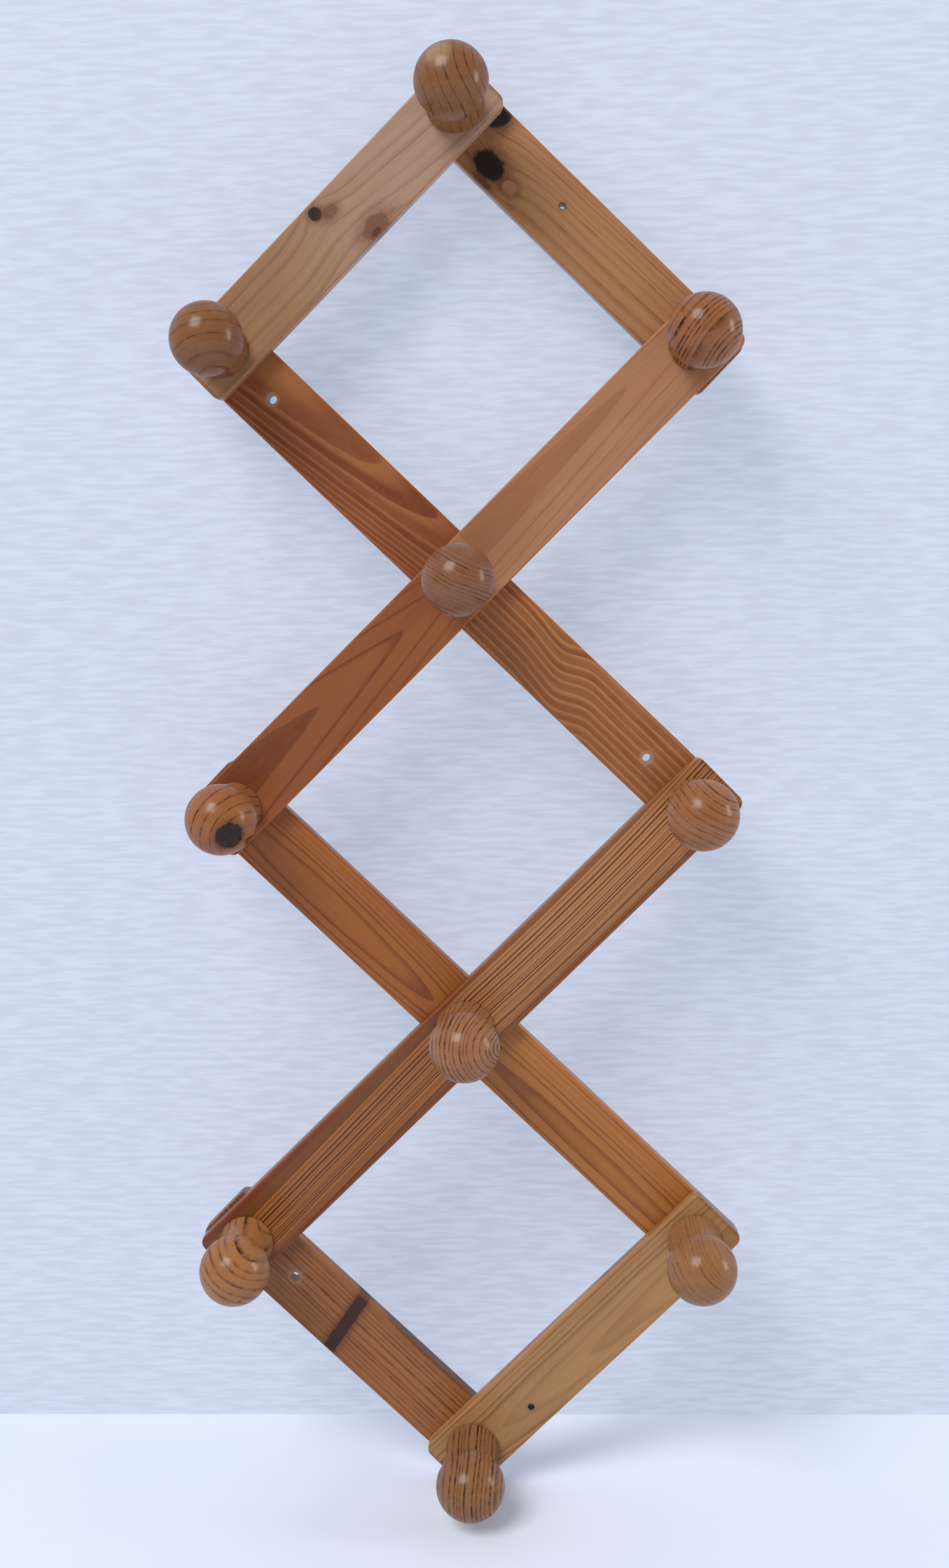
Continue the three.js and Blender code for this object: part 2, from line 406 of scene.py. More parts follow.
class WoodGroups:
    """Node groups for pine: growth rings, fibre, knots, colour and varnish."""

    FIGURE_INPUTS = (
        "Pith In", "Pith Up", "Tilt", "Taper", "Bow", "Bow From", "Start", "Width", "Tighten",
    )

    # Features per metre along the grain and across it.
    SLOW_WANDER = (8.0, 26.0, 26.0)
    QUICK_WANDER = (30.0, 170.0, 170.0)
    FIBRES = (22.0, 900.0, 900.0)
    RESIN_MARKS = (240.0, 1500.0, 1500.0)
    CLOUDS = (11.0, 45.0, 45.0)
    LINE_GAPS = (75.0, 190.0, 190.0)
    RIM_WEAR = (60.0, 400.0, 400.0)

    # Features per metre in every direction.
    KNOT_RAGS = 300.0
    SMEARS = 55.0
    ORANGE_PEEL = 420.0

    # Rings: how far the quick wander goes, how fast their widths vary along the
    # count, and the share of a ring at which its line starts to close.
    QUICK_REACH = mm(0.5)
    UNEVEN_PER_RING = 0.37
    LINE_CLOSES = 0.95

    # Where a mask starts and where it is full.
    GAP_RANGE = (0.60, 0.42)
    MARK_RANGE = (0.66, 0.78)
    CLOUD_RANGE = (0.3, 0.7)
    CORE_RANGE = (1.12, 0.88)
    HALO_RANGE = (2.3, 0.9)
    EDGE_RANGE = (mm(1.7), mm(0.3))
    END_RANGE = (mm(2.6), mm(0.3))

    # How fast the push of a knot falls off, and how ragged a worn rim is.
    PUSH_FALL = -0.22
    RIM_SHAKE = mm(1.6)
    HALF_THICKNESS = mm(5.0)

    # Colour: the tone of clouds, the brightness of the palest and darkest
    # fibres, and how strong a resin mark is.
    CLOUD_TONE = (0.80, 0.70, 0.62, 1.0)
    FIBRE_TONES = (0.74, 1.26)
    MARK_COVER = 0.22

    # Varnish: its roughness and cover from smear to smear, what wear and fibres
    # change, and how high the peel, the ring lines and the fibres stand.
    ROUGHNESS = (0.42, 0.62)
    COVER = (0.78, 0.46)
    WEAR_ROUGHNESS = 0.12
    WEAR_COVER = 0.25
    FIBRE_ROUGHNESS = 0.06
    PEEL_HEIGHT = 0.45
    LINE_HEIGHT = 0.5
    FIBRE_HEIGHT = 0.35

    def __init__(self) -> None:
        """Builds each group once."""
        self.depth = self.make_depth()
        self.wander = self.make_wander()
        self.lines = self.make_lines()
        self.fibre = self.make_fibre()
        self.knot = self.make_knot()
        self.colour = self.make_colour()
        self.rim = self.make_rim()
        self.skin = self.make_skin()

    def make_depth(self) -> bpy.types.NodeTree:
        """How many growth rings lie between the pith and each point.

        The grain runs along x. Rings are cones round a pith line that may rise
        with x. Taper and Bow say how the cones narrow. Rings are counted from Start
        outwards, and Tighten makes them closer there.

        Returns:
            The group.
        """
        figure = {name: "float" for name in self.FIGURE_INPUTS}
        inputs = {"Place": "vector", **figure, "Shift": "float"}
        maker = GroupMaker("Ring Count", inputs, {"Count": "float"})
        g = maker.graph
        x, y, z = g.split(maker.take("Place"))
        rise = g.math("ADD", maker.take("Pith Up"), g.math("MULTIPLY", x, maker.take("Tilt")))
        down = g.math("SUBTRACT", z, rise)
        inward = g.math("SUBTRACT", y, maker.take("Pith In"))
        across = g.length(inward, down)
        along = g.math("SUBTRACT", x, maker.take("Bow From"))
        bow = g.math("MULTIPLY", g.math("MULTIPLY", along, along), maker.take("Bow"))
        depth = g.math("ADD", across, g.math("ADD", g.math("MULTIPLY", x, maker.take("Taper")), bow))
        depth = g.math("SUBTRACT", g.math("ADD", depth, maker.take("Shift")), maker.take("Start"))
        depth = g.math("MAXIMUM", depth, 0.0)
        closer = g.math("ADD", 1.0, g.math("MULTIPLY", depth, maker.take("Tighten")))
        count = g.math("DIVIDE", g.math("MULTIPLY", depth, closer), maker.take("Width"))
        maker.give("Count", count)
        return maker.tree

    def make_wander(self) -> bpy.types.NodeTree:
        """How far the rings stray from true cones.

        Returns:
            The group.
        """
        inputs = {"Place": "vector", "Wander": "float", "Seed": "float"}
        maker = GroupMaker("Ring Wander", inputs, {"Shift": "float"})
        g = maker.graph
        seed = maker.take("Seed")
        seeded = g.vector("ADD", maker.take("Place"), g.join(seed, 0.0, seed)).outputs[0]
        wide = g.swing(g.grained(seeded, self.SLOW_WANDER, 2.0, 0.55), maker.take("Wander"))
        fine = g.swing(g.grained(seeded, self.QUICK_WANDER, 1.0), self.QUICK_REACH)
        maker.give("Shift", g.math("ADD", wide, fine))
        return maker.tree

    def make_lines(self) -> bpy.types.NodeTree:
        """The dark late wood that closes each ring.

        It darkens from Dawn to Noon, shares of the ring's width, and stops
        sharply at the ring's end. Uneven makes some rings wider than others, and
        Ring Tone is one number for each ring.

        Returns:
            The group.
        """
        maker = GroupMaker(
            "Ring Lines",
            {"Count": "float", "Seed": "float", "Dawn": "float", "Noon": "float", "Uneven": "float"},
            {"Late Wood": "float", "Ring Tone": "float"},
        )
        g = maker.graph
        count = maker.take("Count")
        seed = maker.take("Seed")
        uneven = g.node("TexNoise", noise_dimensions="1D")
        g.feed(uneven.inputs["W"], g.math("ADD", g.math("MULTIPLY", count, self.UNEVEN_PER_RING), seed))
        uneven.inputs["Scale"].default_value = 1.0
        uneven.inputs["Detail"].default_value = 1.0
        count = g.math("ADD", count, g.swing(uneven.outputs[0], maker.take("Uneven")))
        part = g.math("FRACT", count)
        ring = g.node("TexWhiteNoise", noise_dimensions="1D")
        g.feed(ring.inputs["W"], g.math("ADD", g.math("FLOOR", count), seed))
        rise = g.smooth(part, maker.take("Dawn"), maker.take("Noon"))
        stop = g.smooth(part, 1.0, self.LINE_CLOSES)
        maker.give("Late Wood", g.math("MULTIPLY", rise, stop))
        maker.give("Ring Tone", ring.outputs[0])
        return maker.tree

    def make_fibre(self) -> bpy.types.NodeTree:
        """Fine fibres along the grain, short resin marks and slow clouds.

        Break is 1 where the ring lines may fade.

        Returns:
            The group.
        """
        maker = GroupMaker(
            "Fibre",
            {"Place": "vector", "Seed": "float"},
            {"Streak": "float", "Mark": "float", "Cloud": "float", "Break": "float"},
        )
        g = maker.graph
        seed = maker.take("Seed")
        seeded = g.vector("ADD", maker.take("Place"), g.join(0.0, seed, seed)).outputs[0]
        maker.give("Streak", g.grained(seeded, self.FIBRES, 3.0, 0.6))
        maker.give("Break", g.smooth(g.grained(seeded, self.LINE_GAPS, 3.0, 0.65), *self.GAP_RANGE))
        maker.give("Mark", g.smooth(g.grained(seeded, self.RESIN_MARKS, 1.0), *self.MARK_RANGE))
        maker.give("Cloud", g.grained(seeded, self.CLOUDS, 3.0, 0.55))
        return maker.tree

    def make_knot(self) -> bpy.types.NodeTree:
        """One knot on the face of a slat.

        Size is its half width along and across the slat, Slant leans it, Ragged
        roughens its outline and Bend is how far it pushes the rings. Core is its
        dark heart, Halo the stained wood round it, and Push the bend of the rings.

        Returns:
            The group.
        """
        maker = GroupMaker(
            "Knot",
            {
                "Place": "vector", "Centre": "vector", "Size": "vector", "Slant": "float",
                "Ragged": "float", "Bend": "float",
            },
            {"Core": "float", "Halo": "float", "Push": "float"},
        )
        g = maker.graph
        place = maker.take("Place")
        shake = g.swing(g.noise(place, self.KNOT_RAGS, 4.0, 0.65).outputs[0], maker.take("Ragged"))
        x, _, z = g.split(g.vector("SUBTRACT", place, maker.take("Centre")).outputs[0])
        wide, _, high = g.split(maker.take("Size"))
        x = g.math("SUBTRACT", x, g.math("MULTIPLY", z, maker.take("Slant")))
        reach = g.length(g.math("DIVIDE", x, wide), g.math("DIVIDE", z, high))
        reach = g.math("ADD", reach, shake)
        maker.give("Core", g.smooth(reach, *self.CORE_RANGE))
        maker.give("Halo", g.smooth(reach, *self.HALO_RANGE))
        fall = g.math("EXPONENT", g.math("MULTIPLY", g.math("MULTIPLY", reach, reach), self.PUSH_FALL))
        maker.give("Push", g.math("MULTIPLY", fall, maker.take("Bend")))
        return maker.tree

    def make_colour(self) -> bpy.types.NodeTree:
        """Pine colour from the ring, fibre and cloud masks.

        Even is the least tone of a ring's line, Contrast and Mottle are the
        strength of the lines and of the clouds, and Fade is how much of a line
        is lost at a break. Line is the mask of the lines as they are drawn.

        Returns:
            The group.
        """
        maker = GroupMaker(
            "Pine Colour",
            {
                "Late Wood": "float", "Ring Tone": "float",
                "Streak": "float", "Mark": "float", "Cloud": "float", "Break": "float",
                "Early": "colour", "Late": "colour",
                "Contrast": "float", "Mottle": "float", "Even": "float", "Fade": "float",
            },
            {"Colour": "colour", "Line": "float"},
        )
        g = maker.graph
        tone = g.between(maker.take("Ring Tone"), maker.take("Even"), 1.0)
        line = g.math("MULTIPLY", maker.take("Late Wood"), tone)
        line = g.math("MULTIPLY", line, maker.take("Contrast"), clamp=True)
        lost = g.math("MULTIPLY", maker.take("Break"), maker.take("Fade"))
        line = g.math("MULTIPLY", line, g.math("SUBTRACT", 1.0, lost, clamp=True))
        colour = g.blend(line, maker.take("Early"), maker.take("Late"))
        cloud = g.smooth(maker.take("Cloud"), *self.CLOUD_RANGE)
        deep = g.blend(1.0, colour, self.CLOUD_TONE, "MULTIPLY")
        colour = g.blend(g.math("MULTIPLY", cloud, maker.take("Mottle")), colour, deep)
        scale = g.node("VectorMath", operation="SCALE")
        g.feed(scale.inputs[0], colour)
        g.feed(scale.inputs["Scale"], g.between(maker.take("Streak"), *self.FIBRE_TONES))
        mark = g.math("MULTIPLY", maker.take("Mark"), self.MARK_COVER)
        maker.give("Colour", g.blend(mark, scale.outputs[0], maker.take("Late")))
        maker.give("Line", line)
        return maker.tree

    def make_rim(self) -> bpy.types.NodeTree:
        """Where a slat's edges and ends are.

        Returns:
            The group. Edge is 1 on the long rounded edges and End on the ends.
        """
        maker = GroupMaker(
            "Slat Rim",
            {"Place": "vector", "Low": "float", "High": "float", "Half": "float"},
            {"Edge": "float", "End": "float"},
        )
        g = maker.graph
        x, y, z = g.split(maker.take("Place"))
        shake = g.swing(g.grained(maker.take("Place"), self.RIM_WEAR), self.RIM_SHAKE)
        side = g.math("ADD", g.math("SUBTRACT", maker.take("Half"), g.math("ABSOLUTE", z)), shake)
        deep = g.math("ABSOLUTE", g.math("SUBTRACT", y, self.HALF_THICKNESS))
        front = g.math("SUBTRACT", self.HALF_THICKNESS, deep)
        corner = g.math("MAXIMUM", side, front)
        from_low = g.math("SUBTRACT", x, maker.take("Low"))
        from_high = g.math("SUBTRACT", maker.take("High"), x)
        end = g.math("ADD", g.math("MINIMUM", from_low, from_high), shake)
        maker.give("Edge", g.smooth(corner, *self.EDGE_RANGE))
        maker.give("End", g.smooth(end, *self.END_RANGE))
        return maker.tree

    def make_skin(self) -> bpy.types.NodeTree:
        """The varnish: its roughness, its cover and the relief under it.

        Returns:
            The group.
        """
        maker = GroupMaker(
            "Varnish Skin",
            {"Place": "vector", "Line": "float", "Streak": "float", "Wear": "float"},
            {"Roughness": "float", "Coat": "float", "Height": "float"},
        )
        g = maker.graph
        place, wear, streak = maker.take("Place"), maker.take("Wear"), maker.take("Streak")
        smear = g.noise(place, self.SMEARS, 4.0, 0.6).outputs[0]
        peel = g.noise(place, self.ORANGE_PEEL, 2.0, 0.5).outputs[0]
        rough = g.between(smear, *self.ROUGHNESS)
        rough = g.math("ADD", rough, g.math("MULTIPLY", wear, self.WEAR_ROUGHNESS))
        rough = g.math("ADD", rough, g.math("MULTIPLY", streak, self.FIBRE_ROUGHNESS))
        maker.give("Roughness", rough)
        worn = g.math("MULTIPLY", wear, self.WEAR_COVER)
        maker.give("Coat", g.math("SUBTRACT", g.between(smear, *self.COVER), worn, clamp=True))
        relief = g.math("MULTIPLY", peel, self.PEEL_HEIGHT)
        relief = g.math("ADD", relief, g.math("MULTIPLY", maker.take("Line"), self.LINE_HEIGHT))
        maker.give("Height", g.math("ADD", relief, g.math("MULTIPLY", streak, self.FIBRE_HEIGHT)))
        return maker.tree


# --------------------------------------------------------------------------
# Finishes
# --------------------------------------------------------------------------


@dataclass(frozen=True)
class KnotMark:
    """A knot on a slat's face, with lengths in millimetres.

    along and up give its centre from the slat's left pivot, ragged roughens its
    outline and bend is how far it pushes the rings aside. heart and stain are the
    strength of its core and of the halo round it, and slant leans it. The same mark
    also paints the shade in and round a deep nail hole.
    """

    along: float
    up: float
    half_long: float
    half_wide: float
    ragged: float = 0.5
    bend: float = 3.0
    core: Rgb = (52, 40, 38)
    halo: Rgb = (122, 72, 52)
    heart: float = 1.0
    stain: float = 0.6
    slant: float = 0.0


@dataclass(frozen=True)
class Sway:
    """A place where all the rings step sideways, with lengths in millimetres.

    slant moves it along the slat for each millimetre up.
    """

    along: float
    reach: float
    rise: float
    slant: float = 0.0


@dataclass(frozen=True)
class Figure:
    """How the board cut its growth rings, with lengths in millimetres.

    The pith runs pith_in behind the front face and pith_up above the middle of
    the board, and rises by tilt along it. taper narrows the rings along the
    board, and bow bends them into ovals round bow_from. Rings are width apart
    from start outwards, and tighten brings them closer further out.
    """

    pith_in: float = 30.0
    pith_up: float = 0.0
    tilt: float = 0.0
    taper: float = 0.0
    bow: float = 0.0
    bow_from: float = 0.0
    start: float = 0.0
    width: float = 2.6
    tighten: float = 0.0

    def sockets(self) -> dict[str, float]:
        """The figure as inputs of the Ring Count group, in metres.

        Returns:
            The inputs by name, with _ for a space.
        """
        return {
            "Pith_In": mm(self.pith_in), "Pith_Up": mm(self.pith_up),
            "Tilt": self.tilt, "Taper": self.taper,
            "Bow": self.bow * MM_PER_METRE, "Bow_From": mm(self.bow_from),
            "Start": mm(self.start), "Width": mm(self.width), "Tighten": self.tighten * MM_PER_METRE,
        }


@dataclass(frozen=True)
class Pine:
    """Varnished pine with its own figure.

    The early and late colours are those of the soft wood and of the ring lines.
    A board may have a second figure and second colours, which take over between
    change_from and change_to millimetres along it. The second colours are partly
    the board's own and partly painted light: they are lighter on every slat,
    towards the right where more light falls. wander is how far the rings
    stray, in millimetres. A ring's line darkens from dawn to noon, shares of its
    width, and uneven varies the widths. contrast is the strength of the lines,
    even their least tone, fade how much of them is lost at a break, and mottle
    the strength of the clouds.
    """

    early: Rgb
    late: Rgb
    figure: Figure
    far_early_and_light: Optional[Rgb] = None
    far_late_and_light: Optional[Rgb] = None
    far_figure: Optional[Figure] = None
    change_from: float = 168.0
    change_to: float = 206.0
    wander: float = 3.0
    dawn: float = 0.45
    noon: float = 0.93
    uneven: float = 1.2
    contrast: float = 0.8
    mottle: float = 0.42
    even: float = 0.35
    fade: float = 0.15
    seed: float = 1.0
    sways: tuple[Sway, ...] = ()
    knots: tuple[KnotMark, ...] = ()


@dataclass(frozen=True)
class Varnish:
    """The clear coat over the wood: its roughness, refractive index and cover."""

    gloss: float = 0.26
    index: float = 1.38
    cover: float = 1.0


class WoodPainter:
    """Turns a Pine finish into a material."""

    SLAT_VARNISH = Varnish()
    PEG_VARNISH = Varnish(gloss=0.2, index=1.5, cover=0.65)

    # The worn edges, which also carry a painted highlight of edges lit from the side, and the dark ends
    # of a slat, and how much of them shows.
    WORN_AND_LIT_EDGE = tint(184, 100, 50)
    WORN_AND_LIT_COVER = 0.34
    DARK_END = tint(72, 38, 20)
    DARK_COVER = 0.45

    # The wood under the varnish.
    RELIEF_STRENGTH = 0.22
    RELIEF_HEIGHT = mm(0.25)
    SPECULAR = 0.18
    WOOD_INDEX = 1.45

    def __init__(self, groups: WoodGroups) -> None:
        """Keeps the shared node groups."""
        self.groups = groups

    def slat(self, name: str, pine: Pine, seat: "SlatSeat") -> bpy.types.Material:
        """Material of a slat, in the slat's own coordinates.

        Args:
            name: The material's name.
            pine: The finish.
            seat: Where the slat lies and how long and wide it is.

        Returns:
            The material.
        """
        material, g, shader = new_material(name)
        moved = g.vector("SUBTRACT", g.node("TexCoord").outputs["Object"], seat.origin).outputs[0]
        level = g.node("VectorRotate", rotation_type="Y_AXIS")
        g.feed(level.inputs["Vector"], moved)
        level.inputs["Angle"].default_value = seat.angle
        place = level.outputs[0]
        push: Value = 0.0
        marks = []
        for knot in pine.knots:
            node = g.call(
                self.groups.knot,
                Place=place,
                Centre=(mm(knot.along), 0.0, mm(knot.up)),
                Size=(mm(knot.half_long), 1.0, mm(knot.half_wide)),
                Slant=knot.slant,
                Ragged=knot.ragged,
                Bend=mm(knot.bend),
            )
            marks.append((knot, node))
            push = g.math("ADD", push, node.outputs["Push"])
        x, y, z = g.split(place)
        shifted = z
        for sway in pine.sways:
            at = g.math("SUBTRACT", x, g.math("MULTIPLY", z, sway.slant))
            step = g.smooth(at, mm(sway.along - sway.reach), mm(sway.along + sway.reach))
            shifted = g.math("SUBTRACT", shifted, g.math("MULTIPLY", step, mm(sway.rise)))
        bent = g.join(x, y, shifted)
        far = g.smooth(x, mm(pine.change_from), mm(pine.change_to))
        # The far colours are partly the board's own and partly painted light, lighter towards the right
        # end.
        early = self.drift(g, far, pine.early, pine.far_early_and_light)
        late = self.drift(g, far, pine.late, pine.far_late_and_light)
        colour, line, streak = self.grain(g, bent, pine, early, late, push, far)
        for knot, node in marks:
            stain = g.math("MULTIPLY", node.outputs["Halo"], knot.stain)
            colour = g.blend(stain, colour, tint(*knot.halo))
            heart = g.math("MULTIPLY", node.outputs["Core"], knot.heart)
            colour = g.blend(heart, colour, tint(*knot.core))
        high = seat.length + seat.overhang
        rim = g.call(self.groups.rim, Place=place, Low=-seat.overhang, High=high, Half=seat.half_width)
        # Wear and painted highlight: every long edge is tinted pale orange, partly real wear and partly
        # painted side light.
        worn = g.math("MULTIPLY", rim.outputs["Edge"], self.WORN_AND_LIT_COVER)
        colour = g.blend(worn, colour, self.WORN_AND_LIT_EDGE)
        dark = g.math("MULTIPLY", rim.outputs["End"], self.DARK_COVER)
        colour = g.blend(dark, colour, self.DARK_END)
        self.finish(g, shader, place, colour, line, streak, rim.outputs["Edge"], self.SLAT_VARNISH)
        return material

    def peg(
        self, name: str, pine: Pine, turn: float, lean: float, knots: Sequence["PegPatch"]
    ) -> bpy.types.Material:
        """Material of a turned peg, in the peg's own coordinates.

        Args:
            name: The material's name.
            pine: The finish.
            turn: Lean of the ring lines to the right of upright, in degrees.
            lean: How far the grain leans off the peg's axis, in degrees.
            knots: Knots and stains on the peg.

        Returns:
            The material.
        """
        material, g, shader = new_material(name)
        place = g.node("TexCoord").outputs["Object"]
        spin = g.node("VectorRotate", rotation_type="EULER_XYZ")
        g.feed(spin.inputs["Vector"], place)
        spin.inputs["Rotation"].default_value = (math.radians(lean), -math.radians(turn), 0.0)
        x, y, z = g.split(spin.outputs[0])
        grain = g.join(y, x, z)
        colour, line, streak = self.grain(g, grain, pine, tint(*pine.early), tint(*pine.late), 0.0, None)
        for knot in knots:
            colour = knot.paint(g, place, colour)
        self.finish(g, shader, grain, colour, line, streak, 0.0, self.PEG_VARNISH)
        return material

    def drift(self, g: Graph, far: Socket, near_tint: Rgb, far_tint: Optional[Rgb]) -> Value:
        """A colour that changes along the slat, if it has a second one. The change is partly the board's
        own colour and partly painted light, lighter towards the right.

        Args:
            g: The material's graph.
            far: Rises from 0 to 1 where the second colour takes over.
            near_tint: The first colour.
            far_tint: The second colour, if there is one.

        Returns:
            The colour.
        """
        if far_tint is None:
            return tint(*near_tint)
        return g.blend(far, tint(*near_tint), tint(*far_tint))

    def grain(
        self,
        g: Graph,
        place: Socket,
        pine: Pine,
        early: Value,
        late: Value,
        push: Value,
        far: Optional[Socket],
    ) -> tuple[Socket, Socket, Socket]:
        """The colour of clean wood.

        Args:
            g: The material's graph.
            place: Position with the grain along x.
            pine: The finish.
            early: Colour of the soft wood.
            late: Colour of the ring lines.
            push: How far knots push the rings.
            far: Rises from 0 to 1 where the second figure takes over.

        Returns:
            The colour, the ring lines' mask and the fibres' mask.
        """
        wander = g.call(self.groups.wander, Place=place, Wander=mm(pine.wander), Seed=pine.seed)
        shift = g.math("ADD", wander.outputs[0], push)
        depth = self.groups.depth
        count = g.call(depth, Place=place, Shift=shift, **pine.figure.sockets()).outputs[0]
        if pine.far_figure is not None and far is not None:
            second = g.call(depth, Place=place, Shift=shift, **pine.far_figure.sockets()).outputs[0]
            count = g.between(far, count, second)
        rings = g.call(
            self.groups.lines,
            Count=count,
            Seed=pine.seed,
            Dawn=pine.dawn,
            Noon=pine.noon,
            Uneven=pine.uneven,
        )
        fibre = g.call(self.groups.fibre, Place=place, Seed=pine.seed)
        tone = g.call(
            self.groups.colour,
            Late_Wood=rings.outputs["Late Wood"],
            Ring_Tone=rings.outputs["Ring Tone"],
            Streak=fibre.outputs["Streak"],
            Mark=fibre.outputs["Mark"],
            Cloud=fibre.outputs["Cloud"],
            Break=fibre.outputs["Break"],
            Early=early,
            Late=late,
            Contrast=pine.contrast,
            Mottle=pine.mottle,
            Even=pine.even,
            Fade=pine.fade,
        )
        return tone.outputs["Colour"], tone.outputs["Line"], fibre.outputs["Streak"]

    def finish(
        self,
        g: Graph,
        shader: bpy.types.Node,
        place: Socket,
        colour: Socket,
        line: Socket,
        streak: Socket,
        wear: Value,
        varnish: Varnish,
    ) -> None:
        """Wires colour, varnish and relief to the shader.

        Args:
            g: The material's graph.
            shader: The material's shader.
            place: Position with the grain along x.
            colour: The wood's colour.
            line: The ring lines' mask.
            streak: The fibres' mask.
            wear: How worn the varnish is.
            varnish: The varnish over the wood.
        """
        skin = g.call(self.groups.skin, Place=place, Line=line, Streak=streak, Wear=wear)
        bump = g.node("Bump")
        bump.inputs["Strength"].default_value = self.RELIEF_STRENGTH
        bump.inputs["Distance"].default_value = self.RELIEF_HEIGHT
        g.feed(bump.inputs["Height"], skin.outputs["Height"])
        g.feed(shader.inputs["Base Color"], colour)
        g.feed(shader.inputs["Roughness"], skin.outputs["Roughness"])
        cover = g.math("MULTIPLY", skin.outputs["Coat"], varnish.cover)
        g.feed(shader.inputs["Coat Weight"], cover)
        g.feed(shader.inputs["Normal"], bump.outputs[0])
        shader.inputs["Coat Roughness"].default_value = varnish.gloss
        shader.inputs["Specular IOR Level"].default_value = self.SPECULAR
        shader.inputs["Coat IOR"].default_value = varnish.index
        shader.inputs["IOR"].default_value = self.WOOD_INDEX


@dataclass(frozen=True)
class PegPatch:
    """A ragged knot or a soft stain on a peg, placed from the wall behind its pivot.

    Lengths are in millimetres. soft is how wide its border is, ragged roughens
    it, and strength is how much of it shows. Its colours are its core, the paler
    wood in it and the ring round it.
    """

    right: float
    front: float
    up: float
    radius: float
    soft: float = 0.6
    ragged: float = 5.0
    strength: float = 1.0
    core: Rgb = (38, 12, 8)
    pale: Rgb = (62, 27, 20)
    ring: Rgb = (96, 46, 24)

    # Features of its outline per metre, where the paler wood starts and is
    # full, how far the ring reaches and how much of it shows.
    RAGS = 420.0
    PALE_RANGE = (0.45, 0.75)
    RING_REACH = 1.6
    RING_COVER = 0.45

    def paint(self, g: Graph, place: Socket, colour: Socket) -> Socket:
        """Lays the patch over a colour.

        Args:
            g: The material's graph.
            place: Position on the peg.
            colour: The colour under the patch.

        Returns:
            The new colour.
        """
        centre = (mm(self.right), mm(self.front), mm(self.up))
        away = g.vector("DISTANCE", place, centre).outputs["Value"]
        rough = g.noise(place, self.RAGS, 4.0, 0.7).outputs[0]
        away = g.math("ADD", away, g.swing(rough, mm(self.ragged)))
        inside = g.smooth(away, mm(self.radius + self.soft), mm(self.radius - self.soft))
        wood = g.blend(g.smooth(rough, *self.PALE_RANGE), tint(*self.core), tint(*self.pale))
        halo = g.smooth(away, mm(self.radius * self.RING_REACH), mm(self.radius))
        cover = g.math("MULTIPLY", halo, self.RING_COVER * self.strength)
        colour = g.blend(cover, colour, tint(*self.ring))
        return g.blend(g.math("MULTIPLY", inside, self.strength), colour, wood)


@dataclass(frozen=True)
class ZincSteel:
    """Zinc-plated steel of the washers and screws."""

    bright: Rgb = (196, 198, 200)
    dull: Rgb = (140, 138, 132)

    # Features per metre, where the haze starts and is full, the roughness of
    # clear and of hazy zinc, and the relief of the spangle.
    SPANGLES = 900.0
    HAZE = 260.0
    HAZE_RANGE = (0.42, 0.68)
    ROUGHNESS = (0.26, 0.5)
    RELIEF_STRENGTH = 0.15
    RELIEF_HEIGHT = mm(0.05)

    def make(self, name: str) -> bpy.types.Material:
        """Builds the material.

        Args:
            name: The material's name.

        Returns:
            The material.
        """
        material, g, shader = new_material(name)
        place = g.node("TexCoord").outputs["Object"]
        spangle = g.node("TexVoronoi", feature="F1")
        g.feed(spangle.inputs["Vector"], place)
        spangle.inputs["Scale"].default_value = self.SPANGLES
        haze = g.smooth(g.noise(place, self.HAZE, 4.0, 0.6).outputs[0], *self.HAZE_RANGE)
        g.feed(shader.inputs["Base Color"], g.blend(haze, tint(*self.bright), tint(*self.dull)))
        g.feed(shader.inputs["Roughness"], g.between(haze, *self.ROUGHNESS))
        bump = g.node("Bump")
        bump.inputs["Strength"].default_value = self.RELIEF_STRENGTH
        bump.inputs["Distance"].default_value = self.RELIEF_HEIGHT
        g.feed(bump.inputs["Height"], spangle.outputs["Distance"])
        g.feed(shader.inputs["Normal"], bump.outputs[0])
        shader.inputs["Metallic"].default_value = 1.0
        return material


@dataclass(frozen=True)
class StudioPaint:
    """Plain pale matt paint of the wall and the table.

    glow is its own light, open_back lets it be seen through from behind, and
    ribs is how much fine level ribs change the glow.
    """

    shade: Rgb
    glow: float = 0.0
    open_back: bool = False
    ribs: float = 0.0

    GLOW_TINT = tint(214, 228, 252)
    ROUGHNESS = 0.9

    # Ribs per metre along x, y and z, and where a rib starts and is full.
    RIB_GRAIN = (42.0, 1.0, 340.0)
    RIB_RANGE = (0.36, 0.64)

    def make(self, name: str) -> bpy.types.Material:
        """Builds the material.

        Args:
            name: The material's name.

        Returns:
            The material.
        """
        material, g, shader = new_material(name)
        shader.inputs["Base Color"].default_value = tint(*self.shade)
        shader.inputs["Roughness"].default_value = self.ROUGHNESS
        shader.inputs["Emission Color"].default_value = self.GLOW_TINT
        shader.inputs["Emission Strength"].default_value = self.glow
        if self.ribs > 0.0:
            weave = g.grained(g.node("TexCoord").outputs["Object"], self.RIB_GRAIN)
            dim = tuple(value * (1.0 - self.ribs) for value in self.GLOW_TINT[:3]) + (1.0,)
            lit = tuple(value * (1.0 + self.ribs) for value in self.GLOW_TINT[:3]) + (1.0,)
            rib = g.smooth(weave, *self.RIB_RANGE)
            g.feed(shader.inputs["Emission Color"], g.blend(rib, dim, lit))
        if self.open_back:
            mix = g.node("MixShader")
            clear = g.node("BsdfTransparent")
            back = g.node("NewGeometry").outputs["Backfacing"]
            g.feed(mix.inputs[0], back)
            g.feed(mix.inputs[1], shader.outputs[0])
            g.feed(mix.inputs[2], clear.outputs[0])
            g.feed(material.node_tree.nodes["Material Output"].inputs[0], mix.outputs[0])
        return material


# --------------------------------------------------------------------------
# Meshes
# --------------------------------------------------------------------------


